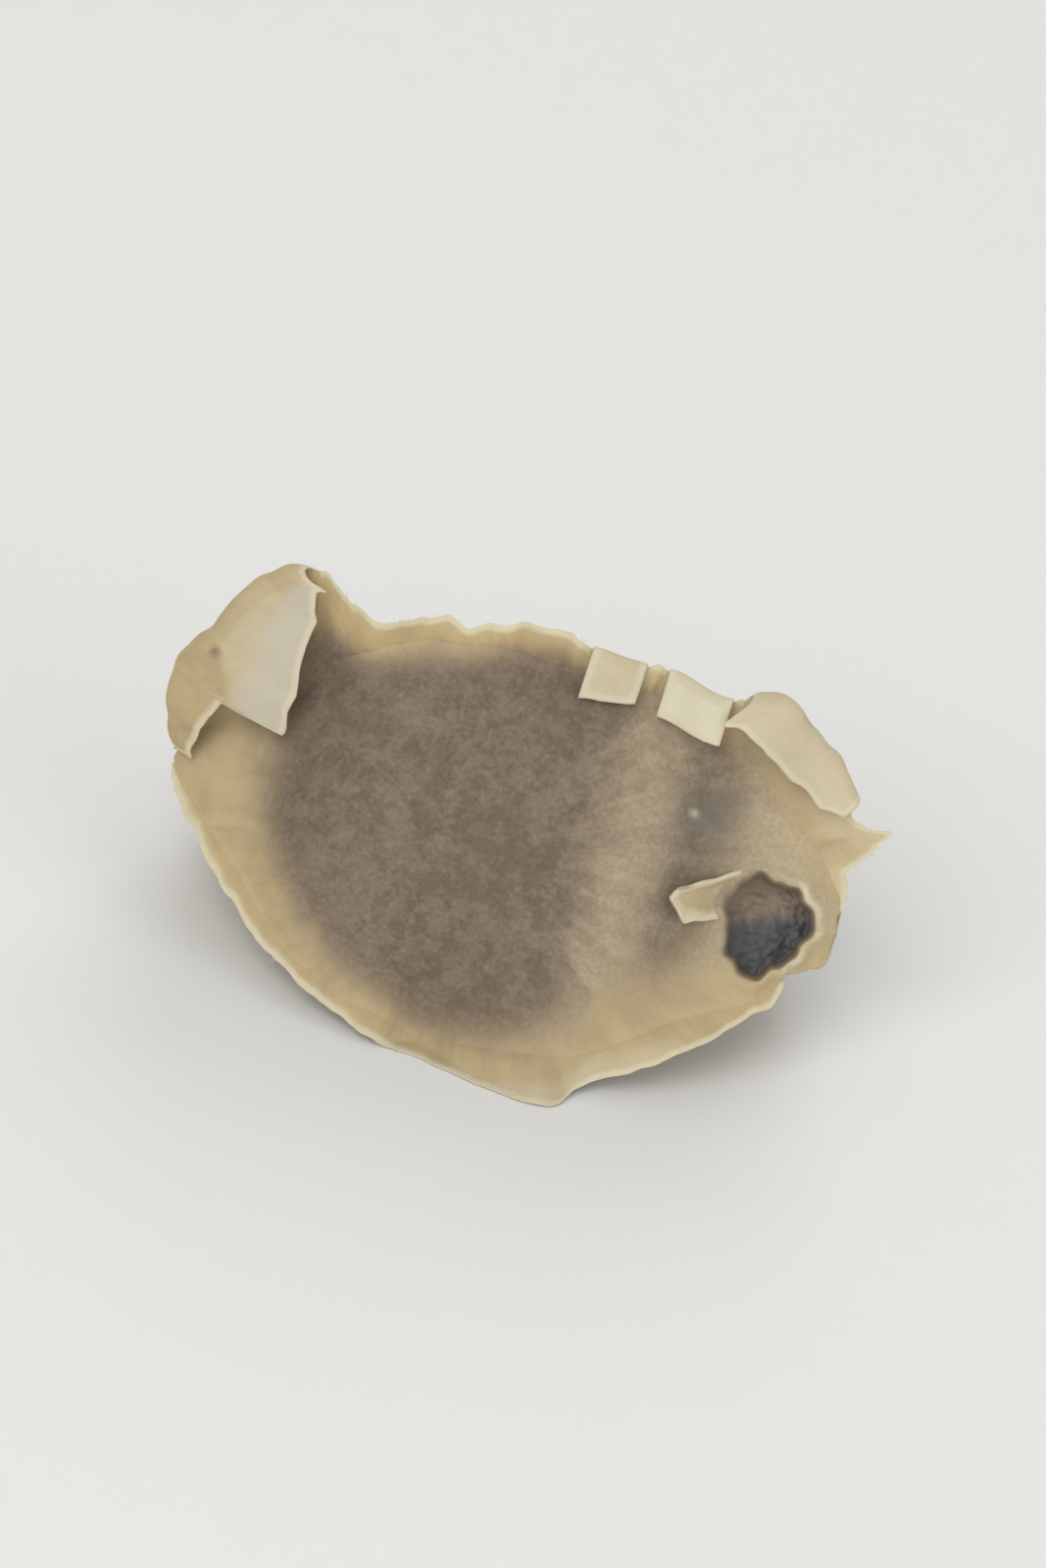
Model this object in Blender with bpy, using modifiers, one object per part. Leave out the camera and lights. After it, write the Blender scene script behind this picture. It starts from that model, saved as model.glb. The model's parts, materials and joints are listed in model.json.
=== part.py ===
# Winged moringa seed: a three-sided brown hull with a papery wing growing out of each of its three ridges.
# It lies on the edges of its two lower wings, with the third wing standing up.
# The seed's long axis lies along X, +Z is up and the origin is on the ground below the middle of the seed.
# Sizes below are in millimetres and angles in degrees; SCALE turns the finished mesh into metres.

import functools
import math

import bmesh
import bpy
import numpy as np

SCALE = 0.001

# Directions round the axis: 90 is straight up and 180 points to the front. Each ridge carries a wing.
UPPER_RIDGE = 90.0
FRONT_RIDGE = 210.0
BACK_RIDGE = 330.0
FRONT_FACE = 150.0
FACES = (30.0, FRONT_FACE, 270.0)
HALF_FACE = 60.0

# Hull: a rounded triangle in section, which swells to full size in the middle and runs out to both ends.
# HULL_SWELL holds places along the axis and the share of the full section there. SWELL_SPREAD is how far
# to each side it is smoothed, and SWELL_LIMIT keeps the smoothed ends pointed.
FACE_DISTANCE = 3.8
CORNER_RADIUS = 6.0
CORNER_SHARPNESS = 4.0
HULL_SWELL = (
    (-9.9, 0.0), (-9.3, 0.17), (-8.4, 0.28), (-7.4, 0.40), (-6.5, 0.60), (-5.4, 0.82), (-3.8, 0.95),
    (-0.6, 1.0), (2.4, 0.96), (4.0, 0.86), (5.2, 0.69), (6.4, 0.55), (7.6, 0.47), (8.7, 0.36),
    (9.4, 0.21), (9.8, 0.0),
)
SWELL_SPREAD = (-0.6, -0.3, 0.0, 0.3, 0.6)
SWELL_LIMIT = 2.5
HULL_SIDES = 48
HULL_RINGS = 30
RIDGE_CROWDING = 0.22

# The hull's corners stay CORNER_ROOM inside the outline of their wings, but are never blunter than
# CORNER_LEAST. From there the hull runs up into the wing in a hollow sweep, given by its height, its width
# and its thinnest half, which ends SWEEP_STOP short of the wing's edge. Its height and width shrink towards
# the hull's tips, to the shares given.
CORNER_ROOM = 1.15
CORNER_LEAST = 4.05
SWEEP_RISE = 0.46
SWEEP_WIDTH = 1.5
SWEEP_THIN = 0.15
SWEEP_STOP = 0.3
SWEEP_RISE_AT_TIPS = 0.3
SWEEP_WIDTH_AT_TIPS = 0.4
LEAST_ROOM = 0.05
LEAST_SHARE = 0.05
TIP_SHARE = 0.12
OUTLINE_STEPS = 200

# Shallow dents of the dry hull: their depth, and how fast they come along the axis and round it.
DENT_DEPTH = 0.12
DENT_ALONG = 1.3
DENT_ROUND = 2.0

# Wings: a sheet from the hull out to a torn edge. Each edge is a list of places along the axis and
# distances from it, from the left end to the right end.
WING_THICKNESS = 0.6
WING_ROWS = 7
BEND_ROWS = 4
FLAP_ROWS = 6
COLUMN_WIDTH = 0.42
CURVE_STEPS = 24
UPPER_EDGE = (
    (-9.9, 0.3), (-10.35, 1.2), (-10.5, 2.8), (-10.3, 3.9), (-9.6, 4.9), (-9.1, 5.9), (-8.4, 6.9),
    (-7.6, 7.1), (-6.8, 6.75), (-5.6, 6.45), (-4.5, 6.5), (-2.1, 6.8), (-0.1, 7.5), (0.8, 7.1), (3.0, 6.85),
    (5.1, 6.75), (5.8, 7.3), (6.6, 7.35), (7.7, 6.4), (8.7, 5.5), (9.55, 4.6), (9.7, 4.0), (10.4, 3.6),
    (9.8, 2.4), (9.7, 0.3),
)
FRONT_EDGE = (
    (-9.9, 0.2), (-9.7, 0.8), (-8.8, 2.1), (-7.4, 3.75), (-5.9, 5.0), (-4.2, 6.1), (-2.2, 6.8),
    (-0.1, 7.25), (1.4, 7.5), (2.8, 7.6), (3.3, 7.35), (3.75, 6.5), (5.2, 5.75), (6.4, 4.9), (7.6, 3.75),
    (8.5, 2.7), (8.4, 1.6), (8.2, 1.2),
)
BACK_EDGE = (
    (-9.8, 0.3), (-9.7, 2.2), (-8.9, 3.6), (-8.1, 5.3), (-6.8, 6.6), (-6.0, 7.8), (-4.6, 8.8), (-3.5, 8.4),
    (-2.8, 7.3), (-1.0, 7.7), (1.6, 7.8), (2.5, 7.0), (3.4, 8.3), (4.6, 8.9), (5.8, 8.3), (6.6, 6.9),
    (7.7, 6.2), (8.5, 4.9), (9.6, 4.0), (9.4, 2.4), (9.7, 0.3),
)

# Slope of each wing, as a direction round the axis, at places along it.
UPPER_SLOPE = ((-10.0, 93.0), (-4.0, 91.0), (2.0, 88.0), (6.0, 90.0), (10.0, 94.0))
FRONT_SLOPE = ((-10.0, 211.0), (-5.0, 215.0), (-1.0, 219.5), (3.0, 215.5), (6.0, 213.0), (10.0, 209.0))
BACK_SLOPE = ((-10.0, 333.0), (-5.0, 328.5), (0.0, 331.0), (5.0, 328.5), (10.0, 332.0))

# Wing roots: how deep they start inside the hull, between which places along the axis, and how evenly
# they are spread there.
ROOT_SHARE = 3.6
ROOT_DEPTH = 0.6
ROOT_ENDS = (-8.3, 8.3)
ROOT_LEAN = 0.4

# Ripples: each has a height, its radians a millimetre and its shift from one wing to the next. The torn
# edges have frays, of the size given for each wing, and the sheets have waves that grow from WAVE_START
# over WAVE_GROWTH towards the edge.
FRAY_RIPPLES = ((0.5, 2.9, 1.7), (0.3, 5.3, 2.3), (0.2, 7.1, 0.9))
WAVE_RIPPLES = ((0.26, 1.15, 1.3), (0.12, 2.6, 2.1))
WAVE_START = 2.0
WAVE_GROWTH = 5.0
WAVE_EASE = 1.5

# Flaps: stretches of a wing's edge that are folded over. Start and end are distances along the edge from
# its left end, reach holds shares of the way between them and the flap's length there, fold is how far it
# turns and drift is how far it slants along the axis.
UPPER_FLAPS = (
    dict(start=1.1, end=8.3, fold=158.0, drift=0.0,
         reach=((0.0, 1.9), (0.12, 2.3), (0.25, 2.8), (0.32, 4.3), (0.46, 4.0), (0.75, 3.2), (1.0, 2.1))),
    dict(start=16.6, end=18.8, fold=158.0, drift=0.1, reach=((0.0, 2.5), (1.0, 2.25))),
    dict(start=19.0, end=21.2, fold=158.0, drift=0.0, reach=((0.0, 2.35), (1.0, 2.45))),
    dict(start=21.9, end=27.1, fold=158.0, drift=-0.1, reach=((0.0, 2.5), (0.6, 2.5), (1.0, 1.8))),
)
BACK_FLAPS = (
    dict(start=5.0, end=7.2, fold=125.0, drift=0.2, reach=((0.0, 2.4), (1.0, 2.9))),
    dict(start=14.1, end=18.4, fold=128.0, drift=-0.15, reach=((0.0, 3.2), (1.0, 3.9))),
    dict(start=25.6, end=28.4, fold=140.0, drift=-0.3, reach=((0.0, 2.6), (1.0, 2.1))),
)
# Length of sheet in each bend, how far beside a flap the wing's outline recovers, and the ragged free edge.
FOLD_BEND = 1.6
FOLD_FADE = 0.6
FLAP_RAGGED = 0.07
FLAP_RAGGED_RATE = 9.0

# The three wings. Fray is the size of the frays of the torn edge, and seed shifts frays and waves.
WINGS = {
    "upper_wing": dict(ridge=UPPER_RIDGE, edge=UPPER_EDGE, slope=UPPER_SLOPE, flaps=UPPER_FLAPS,
                       fray=0.16, seed=1),
    "front_wing": dict(ridge=FRONT_RIDGE, edge=FRONT_EDGE, slope=FRONT_SLOPE, flaps=(),
                       fray=0.05, seed=2),
    "back_wing": dict(ridge=BACK_RIDGE, edge=BACK_EDGE, slope=BACK_SLOPE, flaps=BACK_FLAPS,
                      fray=0.22, seed=3),
}

# Hollow torn into the front face near the right end: its half sizes along the axis, up the face and into
# it, and the ripples of its outline.
HOLLOW_PLACE = 7.6
HOLLOW_SIZE = (1.5, 1.25, 1.55)
HOLLOW_RIPPLES = ((0.16, 3.0, 0.6), (0.11, 7.0, 0.0))
HOLLOW_SIDES = 20
HOLLOW_RINGS = 12

# Tongue of torn hull, peeled back from the hollow. Its hinge and tip are given as places along the axis and
# heights over the middle of the face. It is sunk into the face at the hinge and lifts off towards its tip.
TONGUE_HINGE = ((6.85, 1.25), (6.0, -0.55))
TONGUE_TIP = (4.6, -0.16)
TONGUE_TIP_SHARE = 0.3
TONGUE_SUNK = 0.15
TONGUE_LIFT = 0.3
TONGUE_COLUMNS = 5
TONGUE_ROWS = 5
FACE_SEARCHES = 6

# Height of the axis over the ground, which cuts the lowest wing edges to small flat feet.
AXIS_HEIGHT = 4.3
GROUND_SIZE = (40.0, 40.0, 10.0)

HULL_COLOUR = (0.150, 0.110, 0.080, 1.0)
HULL_ROUGHNESS = 0.85
SHARP_ANGLE = 40.0


def curve_through(points, amount):
    """Points of a smooth curve through the given points, evenly spaced along its length, and that length."""
    given = np.array(points, dtype=float)
    padded = np.vstack([2 * given[0] - given[1], given, 2 * given[-1] - given[-2]])
    fine = []
    for k in range(len(given) - 1):
        a, b, c, d = padded[k:k + 4]
        for t in np.linspace(0.0, 1.0, CURVE_STEPS, endpoint=False):
            fine.append(0.5 * (2 * b + (c - a) * t + (2 * a - 5 * b + 4 * c - d) * t ** 2
                               + (3 * b - a - 3 * c + d) * t ** 3))
    fine.append(given[-1])
    fine = np.array(fine)
    walked = np.concatenate([[0.0], np.cumsum(np.linalg.norm(np.diff(fine, axis=0), axis=1))])
    stops = np.linspace(0.0, walked[-1], amount)
    return np.column_stack([np.interp(stops, walked, fine[:, n]) for n in range(2)]), walked[-1]


def value_at(table, place):
    """Value of a table of (place, value) pairs, read between its rows."""
    places, values = zip(*table)
    return float(np.interp(place, places, values))


def ripple(parts, distance, seed):
    """Sum of sine ripples at a distance, shifted by the seed."""
    return sum(height * math.sin(rate * distance + shift * seed) for height, rate, shift in parts)


def swell(place):
    """Share of the full hull section at a place along the axis, smoothed between the rows of its table."""
    near = [value_at(HULL_SWELL, place + step) for step in SWELL_SPREAD]
    return min(sum(near) / len(near), SWELL_LIMIT * value_at(HULL_SWELL, place))


def nearest_wing(angle):
    """The wing whose ridge is nearest to a direction, and the angle between the two."""
    return min(
        ((wing, abs((angle - wing["ridge"] + 180.0) % 360.0 - 180.0)) for wing in WINGS.values()),
        key=lambda pair: pair[1],
    )


@functools.lru_cache
def outline_of(edge):
    """Places along the axis and distances from it of a wing's smooth edge, in order of place."""
    points, _ = curve_through(edge, OUTLINE_STEPS)
    return points[np.argsort(points[:, 0])].T


def edge_distance(wing, place):
    """Distance of a wing's outline from the axis at a place along it."""
    places, distances = outline_of(wing["edge"])
    return float(np.interp(place, places, distances))


def corner_size(off_ridge, share, outline):
    """Corner radius of the full section, smaller near a ridge whose wing is narrow."""
    straight = 2.0 * (math.cos(math.radians(HALF_FACE)) / FACE_DISTANCE) ** CORNER_SHARPNESS
    full = (CORNER_RADIUS ** -CORNER_SHARPNESS + straight) ** (-1.0 / CORNER_SHARPNESS)
    reach = min(max((outline - CORNER_ROOM) / max(share, LEAST_SHARE), CORNER_LEAST), full)
    needed = (reach ** -CORNER_SHARPNESS - straight) ** (-1.0 / CORNER_SHARPNESS)
    nearness = math.cos(math.radians(off_ridge * 90.0 / HALF_FACE)) ** 2
    return CORNER_RADIUS + (needed - CORNER_RADIUS) * nearness


def section_radius(angle, corner=CORNER_RADIUS):
    """Distance from the axis to the full hull section in a direction, without the sweep into the wings."""
    total = corner ** -CORNER_SHARPNESS
    for face in FACES:
        toward = math.cos(math.radians(angle - face))
        total += (max(toward, 0.0) / FACE_DISTANCE) ** CORNER_SHARPNESS
    return total ** (-1.0 / CORNER_SHARPNESS)


def hull_radius(angle, place):
    """Distance from the axis to the hull, with its sweep up into the nearest wing."""
    share = swell(place)
    wing, off_ridge = nearest_wing(angle)
    outline = edge_distance(wing, place)
    base = share * section_radius(angle, corner_size(off_ridge, share, outline))
    beside = max(base * math.sin(math.radians(off_ridge)), SWEEP_THIN)
    width = SWEEP_WIDTH * (SWEEP_WIDTH_AT_TIPS + (1.0 - SWEEP_WIDTH_AT_TIPS) * share)
    height = SWEEP_RISE * (SWEEP_RISE_AT_TIPS + (1.0 - SWEEP_RISE_AT_TIPS) * share)
    rise = height * math.log1p((width / beside) ** 2) / 2
    room = max(outline - SWEEP_STOP - base, LEAST_ROOM)
    return base + min(share / TIP_SHARE, 1.0) * room * (1.0 - math.exp(-rise / room))


def ridge_turn(angle, place):
    """How far the hull is twisted at a direction and place, so that each ridge meets its wing."""
    upper = value_at(UPPER_SLOPE, place) - UPPER_RIDGE
    front = value_at(FRONT_SLOPE, place) - FRONT_RIDGE
    back = value_at(BACK_SLOPE, place) - BACK_RIDGE
    past_back_ridge = (angle - BACK_RIDGE) % 360.0
    return float(np.interp(past_back_ridge, (0.0, 120.0, 240.0, 360.0), (back, upper, front, back)))


def wave(place, distance, seed):
    """Sideways waves of a wing, which grow towards its edge."""
    grown = min(max((distance - WAVE_START) / WAVE_GROWTH, 0.0), 1.0)
    return grown ** WAVE_EASE * ripple(WAVE_RIPPLES, place, seed)


def new_object(name, mesh_builder, collection):
    """An object made from a bmesh, in the given collection and scaled to metres."""
    mesh = bpy.data.meshes.new(name)
    for vertex in mesh_builder.verts:
        vertex.co *= SCALE
    bmesh.ops.recalc_face_normals(mesh_builder, faces=mesh_builder.faces[:])
    mesh_builder.to_mesh(mesh)
    mesh_builder.free()
    made = bpy.data.objects.new(name, mesh)
    collection.objects.link(made)
    return made


def make_hull(name, collection):
    """The hull, a ball stretched along X and pressed into a rounded triangle."""
    ball = bmesh.new()
    bmesh.ops.create_uvsphere(ball, u_segments=HULL_SIDES, v_segments=HULL_RINGS, radius=1.0)
    left, right = HULL_SWELL[0][0], HULL_SWELL[-1][0]
    for vertex in ball.verts:
        across, up, along = vertex.co
        place = (left + right) / 2 + along * (right - left) / 2
        even_angle = math.atan2(up, across)
        angle = math.degrees(even_angle - RIDGE_CROWDING * math.sin(3 * even_angle)) + UPPER_RIDGE
        dent = DENT_DEPTH * math.sin(DENT_ALONG * place + DENT_ROUND * math.radians(angle))
        size = hull_radius(angle, place) - swell(place) * dent
        turn = math.radians(angle + ridge_turn(angle, place))
        vertex.co = (place, size * math.cos(turn), AXIS_HEIGHT + size * math.sin(turn))
    return new_object(name, ball, collection)


def flap_at(flaps, walked):
    """The flap that holds a distance along the edge, or None."""
    for flap in flaps:
        if flap["start"] <= walked <= flap["end"]:
            return flap
    return None


def fold_inset(flaps, walked):
    """How far the sheet stops short of its outline, so that the bend of a flap nearby ends on the outline."""
    inset = 0.0
    for flap in flaps:
        beyond = max(flap["start"] - walked, walked - flap["end"], 0.0)
        bend_radius = FOLD_BEND / math.radians(flap["fold"])
        inset = max(inset, (bend_radius + WING_THICKNESS / 4) * max(1.0 - beyond / FOLD_FADE, 0.0))
    return inset


def outward_of(flap, points, length):
    """Direction in which a flap leaves the wing, square to the edge between the flap's ends."""
    first, last = (points[round(flap[end] / length * (len(points) - 1))] for end in ("start", "end"))
    chord = last - first
    return np.array([-chord[1], chord[0]]) / np.linalg.norm(chord)


def folded(flap, row, walked):
    """Steps outward and sideways to a point on a flap, in one of its rows, and its way from the fold."""
    across = (walked - flap["start"]) / (flap["end"] - flap["start"])
    reach = value_at(flap["reach"], across)
    reach *= 1.0 + FLAP_RAGGED * math.sin(FLAP_RAGGED_RATE * across + flap["start"])
    flat_share = max(row - BEND_ROWS, 0) / (FLAP_ROWS - BEND_ROWS)
    flat = flat_share * (reach - FOLD_BEND)
    fold = math.radians(flap["fold"])
    turned = fold * min(row / BEND_ROWS, 1.0)
    radius = FOLD_BEND / fold
    out = radius * math.sin(turned) + flat * math.cos(turned)
    side = radius * (1.0 - math.cos(turned)) + flat * math.sin(turned)
    return out, side, flat


def leftmost(corners):
    """The corner in the lowest column."""
    return min(corners, key=lambda corner: corner[1])


def rightmost(corners):
    """The corner in the highest column."""
    return max(corners, key=lambda corner: corner[1])


def root_places(points):
    """Places along the axis where the columns of a wing start, below their points on its edge."""
    even = np.linspace(ROOT_ENDS[0], ROOT_ENDS[1], len(points))
    below = np.maximum.accumulate(np.clip(points[:, 0], ROOT_ENDS[0], ROOT_ENDS[1]))
    return (1.0 - ROOT_LEAN) * below + ROOT_LEAN * even


def make_wing(name, wing, collection):
    """One wing, a waved sheet from inside the hull to its torn edge, with the flaps folded over."""
    flaps = wing["flaps"]
    _, length = curve_through(wing["edge"], 2)
    columns = round(length / COLUMN_WIDTH)
    points, _ = curve_through(wing["edge"], columns + 1)
    roots = root_places(points)
    rows = WING_ROWS + FLAP_ROWS
    sheet = bmesh.new()
    bmesh.ops.create_grid(sheet, x_segments=columns, y_segments=rows, size=1.0)
    for vertex in sheet.verts:
        column = round((vertex.co.x + 1.0) / 2.0 * columns)
        row = round((vertex.co.y + 1.0) / 2.0 * rows)
        share = min(row / WING_ROWS, 1.0)
        walked = length * column / columns
        flap = flap_at(flaps, walked)
        root_point = np.array([roots[column], ROOT_SHARE * swell(roots[column]) - ROOT_DEPTH])
        whole = points[column] - root_point
        frayed = wing["fray"] * ripple(FRAY_RIPPLES, walked, wing["seed"])
        torn = 1.0 + (frayed - fold_inset(flaps, walked)) / np.linalg.norm(whole)
        place, distance = root_point + share * torn * whole
        aside = wave(place, distance, wing["seed"])
        if row > WING_ROWS and flap:
            out, side, flat = folded(flap, row - WING_ROWS, walked)
            away = outward_of(flap, points, length)
            place += away[0] * out + away[1] * flap["drift"] * flat
            distance += away[1] * out - away[0] * flap["drift"] * flat
            aside += side
        turn = math.radians(value_at(wing["slope"], place))
        vertex.co = (
            place,
            distance * math.cos(turn) - aside * math.sin(turn),
            AXIS_HEIGHT + distance * math.sin(turn) + aside * math.cos(turn),
        )
        vertex.index = row * (columns + 1) + column
    spare = []
    for face in sheet.faces:
        corners = [divmod(vertex.index, columns + 1) for vertex in face.verts]
        first, last = (flap_at(flaps, length * pick(corners)[1] / columns) for pick in (leftmost, rightmost))
        if min(row for row, _ in corners) >= WING_ROWS and (first is None or first is not last):
            spare.append(face)
    bmesh.ops.delete(sheet, geom=spare, context="FACES")
    bmesh.ops.triangulate(sheet, faces=sheet.faces[:], quad_method="FIXED")
    made = new_object(name, sheet, collection)
    thicken(made)
    return made


def thicken(made):
    """Gives a sheet its thickness, half to each side."""
    solid = made.modifiers.new("thickness", "SOLIDIFY")
    solid.thickness = WING_THICKNESS * SCALE
    solid.offset = 0.0
    solid.use_even_offset = False


def front_face(place, height):
    """Point on the front face of the hull, at a place along the axis and a height over the face's middle."""
    off_middle = 0.0
    for _ in range(FACE_SEARCHES):
        size = hull_radius(FRONT_FACE - off_middle, place)
        off_middle = math.degrees(math.asin(height / size))
    turn = math.radians(FRONT_FACE - off_middle)
    return np.array([place, size * math.cos(turn), AXIS_HEIGHT + size * math.sin(turn)])


def front_directions():
    """Directions straight out of the front face and up along it."""
    turn = math.radians(FRONT_FACE)
    return np.array([0.0, math.cos(turn), math.sin(turn)]), np.array([0.0, math.sin(turn), -math.cos(turn)])


def make_hollow(name, collection):
    """Ragged pit of the hollow, an uneven ball set into the front face."""
    middle = front_face(HOLLOW_PLACE, 0.0)
    outward, upward = front_directions()
    half_length, half_height, half_depth = HOLLOW_SIZE
    pit = bmesh.new()
    bmesh.ops.create_uvsphere(pit, u_segments=HOLLOW_SIDES, v_segments=HOLLOW_RINGS, radius=1.0)
    for vertex in pit.verts:
        along, high, deep = vertex.co
        ragged = 1.0 + ripple(HOLLOW_RIPPLES, math.atan2(high, along), 1)
        sideways = np.array([along * half_length * ragged, 0.0, 0.0])
        vertex.co = middle + sideways + upward * high * half_height * ragged + outward * deep * half_depth
    return new_object(name, pit, collection)


def make_tongue(name, collection):
    """Small tongue of torn hull, peeled back from the hollow and narrowing to its tip."""
    outward, _ = front_directions()
    hinge_start, hinge_end = (np.array(point) for point in TONGUE_HINGE)
    tip = np.array(TONGUE_TIP)
    sheet = bmesh.new()
    bmesh.ops.create_grid(sheet, x_segments=TONGUE_COLUMNS, y_segments=TONGUE_ROWS, size=1.0)
    for vertex in sheet.verts:
        across = (vertex.co.x + 1.0) / 2
        peeled = (vertex.co.y + 1.0) / 2
        hinge = hinge_start + across * (hinge_end - hinge_start)
        middle = (hinge_start + hinge_end) / 2
        width = 1.0 - (1.0 - TONGUE_TIP_SHARE) * peeled
        place, height = middle + peeled * (tip - middle) + width * (hinge - middle)
        lift = TONGUE_LIFT * math.sin(peeled * math.pi / 2) - TONGUE_SUNK
        vertex.co = front_face(place, height) + outward * lift
    bmesh.ops.triangulate(sheet, faces=sheet.faces[:], quad_method="FIXED")
    tongue = new_object(name, sheet, collection)
    thicken(tongue)
    return tongue


def make_ground(name, collection):
    """Block below the ground, which cuts the lowest wing edges flat."""
    block = bmesh.new()
    bmesh.ops.create_cube(block, size=1.0)
    for vertex in block.verts:
        x, y, z = vertex.co
        vertex.co = (x * GROUND_SIZE[0], y * GROUND_SIZE[1], (z - 0.5) * GROUND_SIZE[2])
    return new_object(name, block, collection)


def hull_material():
    """Dry brown seed coat."""
    material = bpy.data.materials.new("seed_coat")
    material.use_nodes = True
    shader = material.node_tree.nodes["Principled BSDF"]
    shader.inputs["Base Color"].default_value = HULL_COLOUR
    shader.inputs["Roughness"].default_value = HULL_ROUGHNESS
    shader.inputs["Metallic"].default_value = 0.0
    return material


def settle_shape(made):
    """Turns an object's modifiers into its own mesh."""
    shaped = bpy.data.meshes.new_from_object(made.evaluated_get(bpy.context.evaluated_depsgraph_get()))
    made.modifiers.clear()
    made.data = shaped


def centre_over_origin(made):
    """Moves the mesh along the ground so that the middle of its box is over the origin."""
    places = np.array([vertex.co[:] for vertex in made.data.vertices])
    middle = (places.min(axis=0) + places.max(axis=0)) / 2
    for vertex in made.data.vertices:
        vertex.co.x -= middle[0]
        vertex.co.y -= middle[1]


def main():
    for old in list(bpy.data.objects):
        bpy.data.objects.remove(old, do_unlink=True)
    seed_parts = bpy.data.collections.new("moringa_seed")
    growing = bpy.data.collections.new("wings")
    cutters = bpy.data.collections.new("cutters")
    for collection in (seed_parts, growing, cutters):
        bpy.context.scene.collection.children.link(collection)

    seed = make_hull("moringa_seed", seed_parts)
    for name, wing in WINGS.items():
        make_wing(name, wing, growing)
    make_tongue("tongue", growing)
    hollow = make_hollow("hollow", cutters)
    ground = make_ground("ground", cutters)

    join = seed.modifiers.new("wings", "BOOLEAN")
    join.operation = "UNION"
    join.operand_type = "COLLECTION"
    join.collection = growing
    join.solver = "EXACT"
    for cutter in (hollow, ground):
        cutter.hide_render = True
        cutter.display_type = "WIRE"
        cut = seed.modifiers.new(cutter.name, "BOOLEAN")
        cut.operation = "DIFFERENCE"
        cut.object = cutter
        cut.solver = "EXACT"
    settle_shape(seed)
    for grown in list(growing.objects):
        bpy.data.objects.remove(grown, do_unlink=True)
    centre_over_origin(seed)
    seed.data.shade_smooth()
    seed.data.set_sharp_from_angle(angle=math.radians(SHARP_ANGLE))
    seed.data.materials.clear()
    seed.data.materials.append(hull_material())


main()
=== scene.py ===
# Looks of a dry winged moringa seed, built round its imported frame.
# Sizes in the tables are millimetres and angles are degrees, in the seed's own frame: places run along its
# long axis, distances run out from that axis, and directions round it are 90 for straight up and 180 for the
# front. row_points() turns them into the row frame.
import json
import math

import bmesh
import bpy
import numpy as np
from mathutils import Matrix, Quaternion, Vector, noise

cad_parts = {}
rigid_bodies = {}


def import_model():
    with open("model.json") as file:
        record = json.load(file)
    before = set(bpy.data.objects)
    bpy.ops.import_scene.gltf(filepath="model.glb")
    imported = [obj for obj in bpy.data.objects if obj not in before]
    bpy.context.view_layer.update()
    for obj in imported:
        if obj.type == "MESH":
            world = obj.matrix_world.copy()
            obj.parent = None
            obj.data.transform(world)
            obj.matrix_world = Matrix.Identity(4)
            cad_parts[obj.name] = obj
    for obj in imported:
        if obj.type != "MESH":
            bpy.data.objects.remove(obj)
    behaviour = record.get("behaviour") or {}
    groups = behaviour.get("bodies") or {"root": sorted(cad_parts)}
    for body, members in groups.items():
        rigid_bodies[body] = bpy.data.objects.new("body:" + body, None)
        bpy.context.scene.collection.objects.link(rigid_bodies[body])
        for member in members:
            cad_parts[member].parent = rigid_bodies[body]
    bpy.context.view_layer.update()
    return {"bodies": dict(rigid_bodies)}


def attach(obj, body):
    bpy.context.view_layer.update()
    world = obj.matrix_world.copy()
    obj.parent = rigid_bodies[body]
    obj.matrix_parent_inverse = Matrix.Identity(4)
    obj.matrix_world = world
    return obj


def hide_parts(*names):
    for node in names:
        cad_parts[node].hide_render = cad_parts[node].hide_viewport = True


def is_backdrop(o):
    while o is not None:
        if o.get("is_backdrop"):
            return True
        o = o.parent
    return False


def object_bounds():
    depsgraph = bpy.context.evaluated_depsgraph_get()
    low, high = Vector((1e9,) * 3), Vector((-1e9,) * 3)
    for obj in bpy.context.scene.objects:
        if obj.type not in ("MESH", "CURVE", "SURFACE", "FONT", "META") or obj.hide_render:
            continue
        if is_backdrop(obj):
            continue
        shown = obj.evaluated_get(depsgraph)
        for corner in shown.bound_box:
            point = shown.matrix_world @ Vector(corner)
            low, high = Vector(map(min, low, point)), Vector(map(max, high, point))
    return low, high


bl_info = {
    "name": "Winged Moringa Seed",
    "version": (1, 0, 0),
    "blender": (4, 5, 0),
    "location": "3D View > Sidebar > Seed",
    "description": "Builds a dry winged moringa seed with torn papery wings, and a plain stage for it",
    "category": "Add Mesh",
}

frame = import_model()
SEED_NODE = "moringa_seed"
SEED_BODY = next(iter(frame["bodies"]))
MILLIMETRE = 0.001

# The seed's long axis in the row frame: how far the frame's centring moved it, and its height.
AXIS_ALONG = 0.181
AXIS_ACROSS = -0.598
AXIS_HEIGHT = 4.3

UPPER_RIDGE = 90.0
FRONT_RIDGE = 210.0
BACK_RIDGE = 330.0
RIDGES = (UPPER_RIDGE, FRONT_RIDGE, BACK_RIDGE)
FRONT_FACE = 150.0
FACES = (30.0, FRONT_FACE, 270.0)
HALF_FACE = 60.0
BETWEEN_RIDGES = 120.0
QUARTER_TURN = 90.0
HALF_TURN = 180.0
FULL_TURN = 360.0

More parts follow.
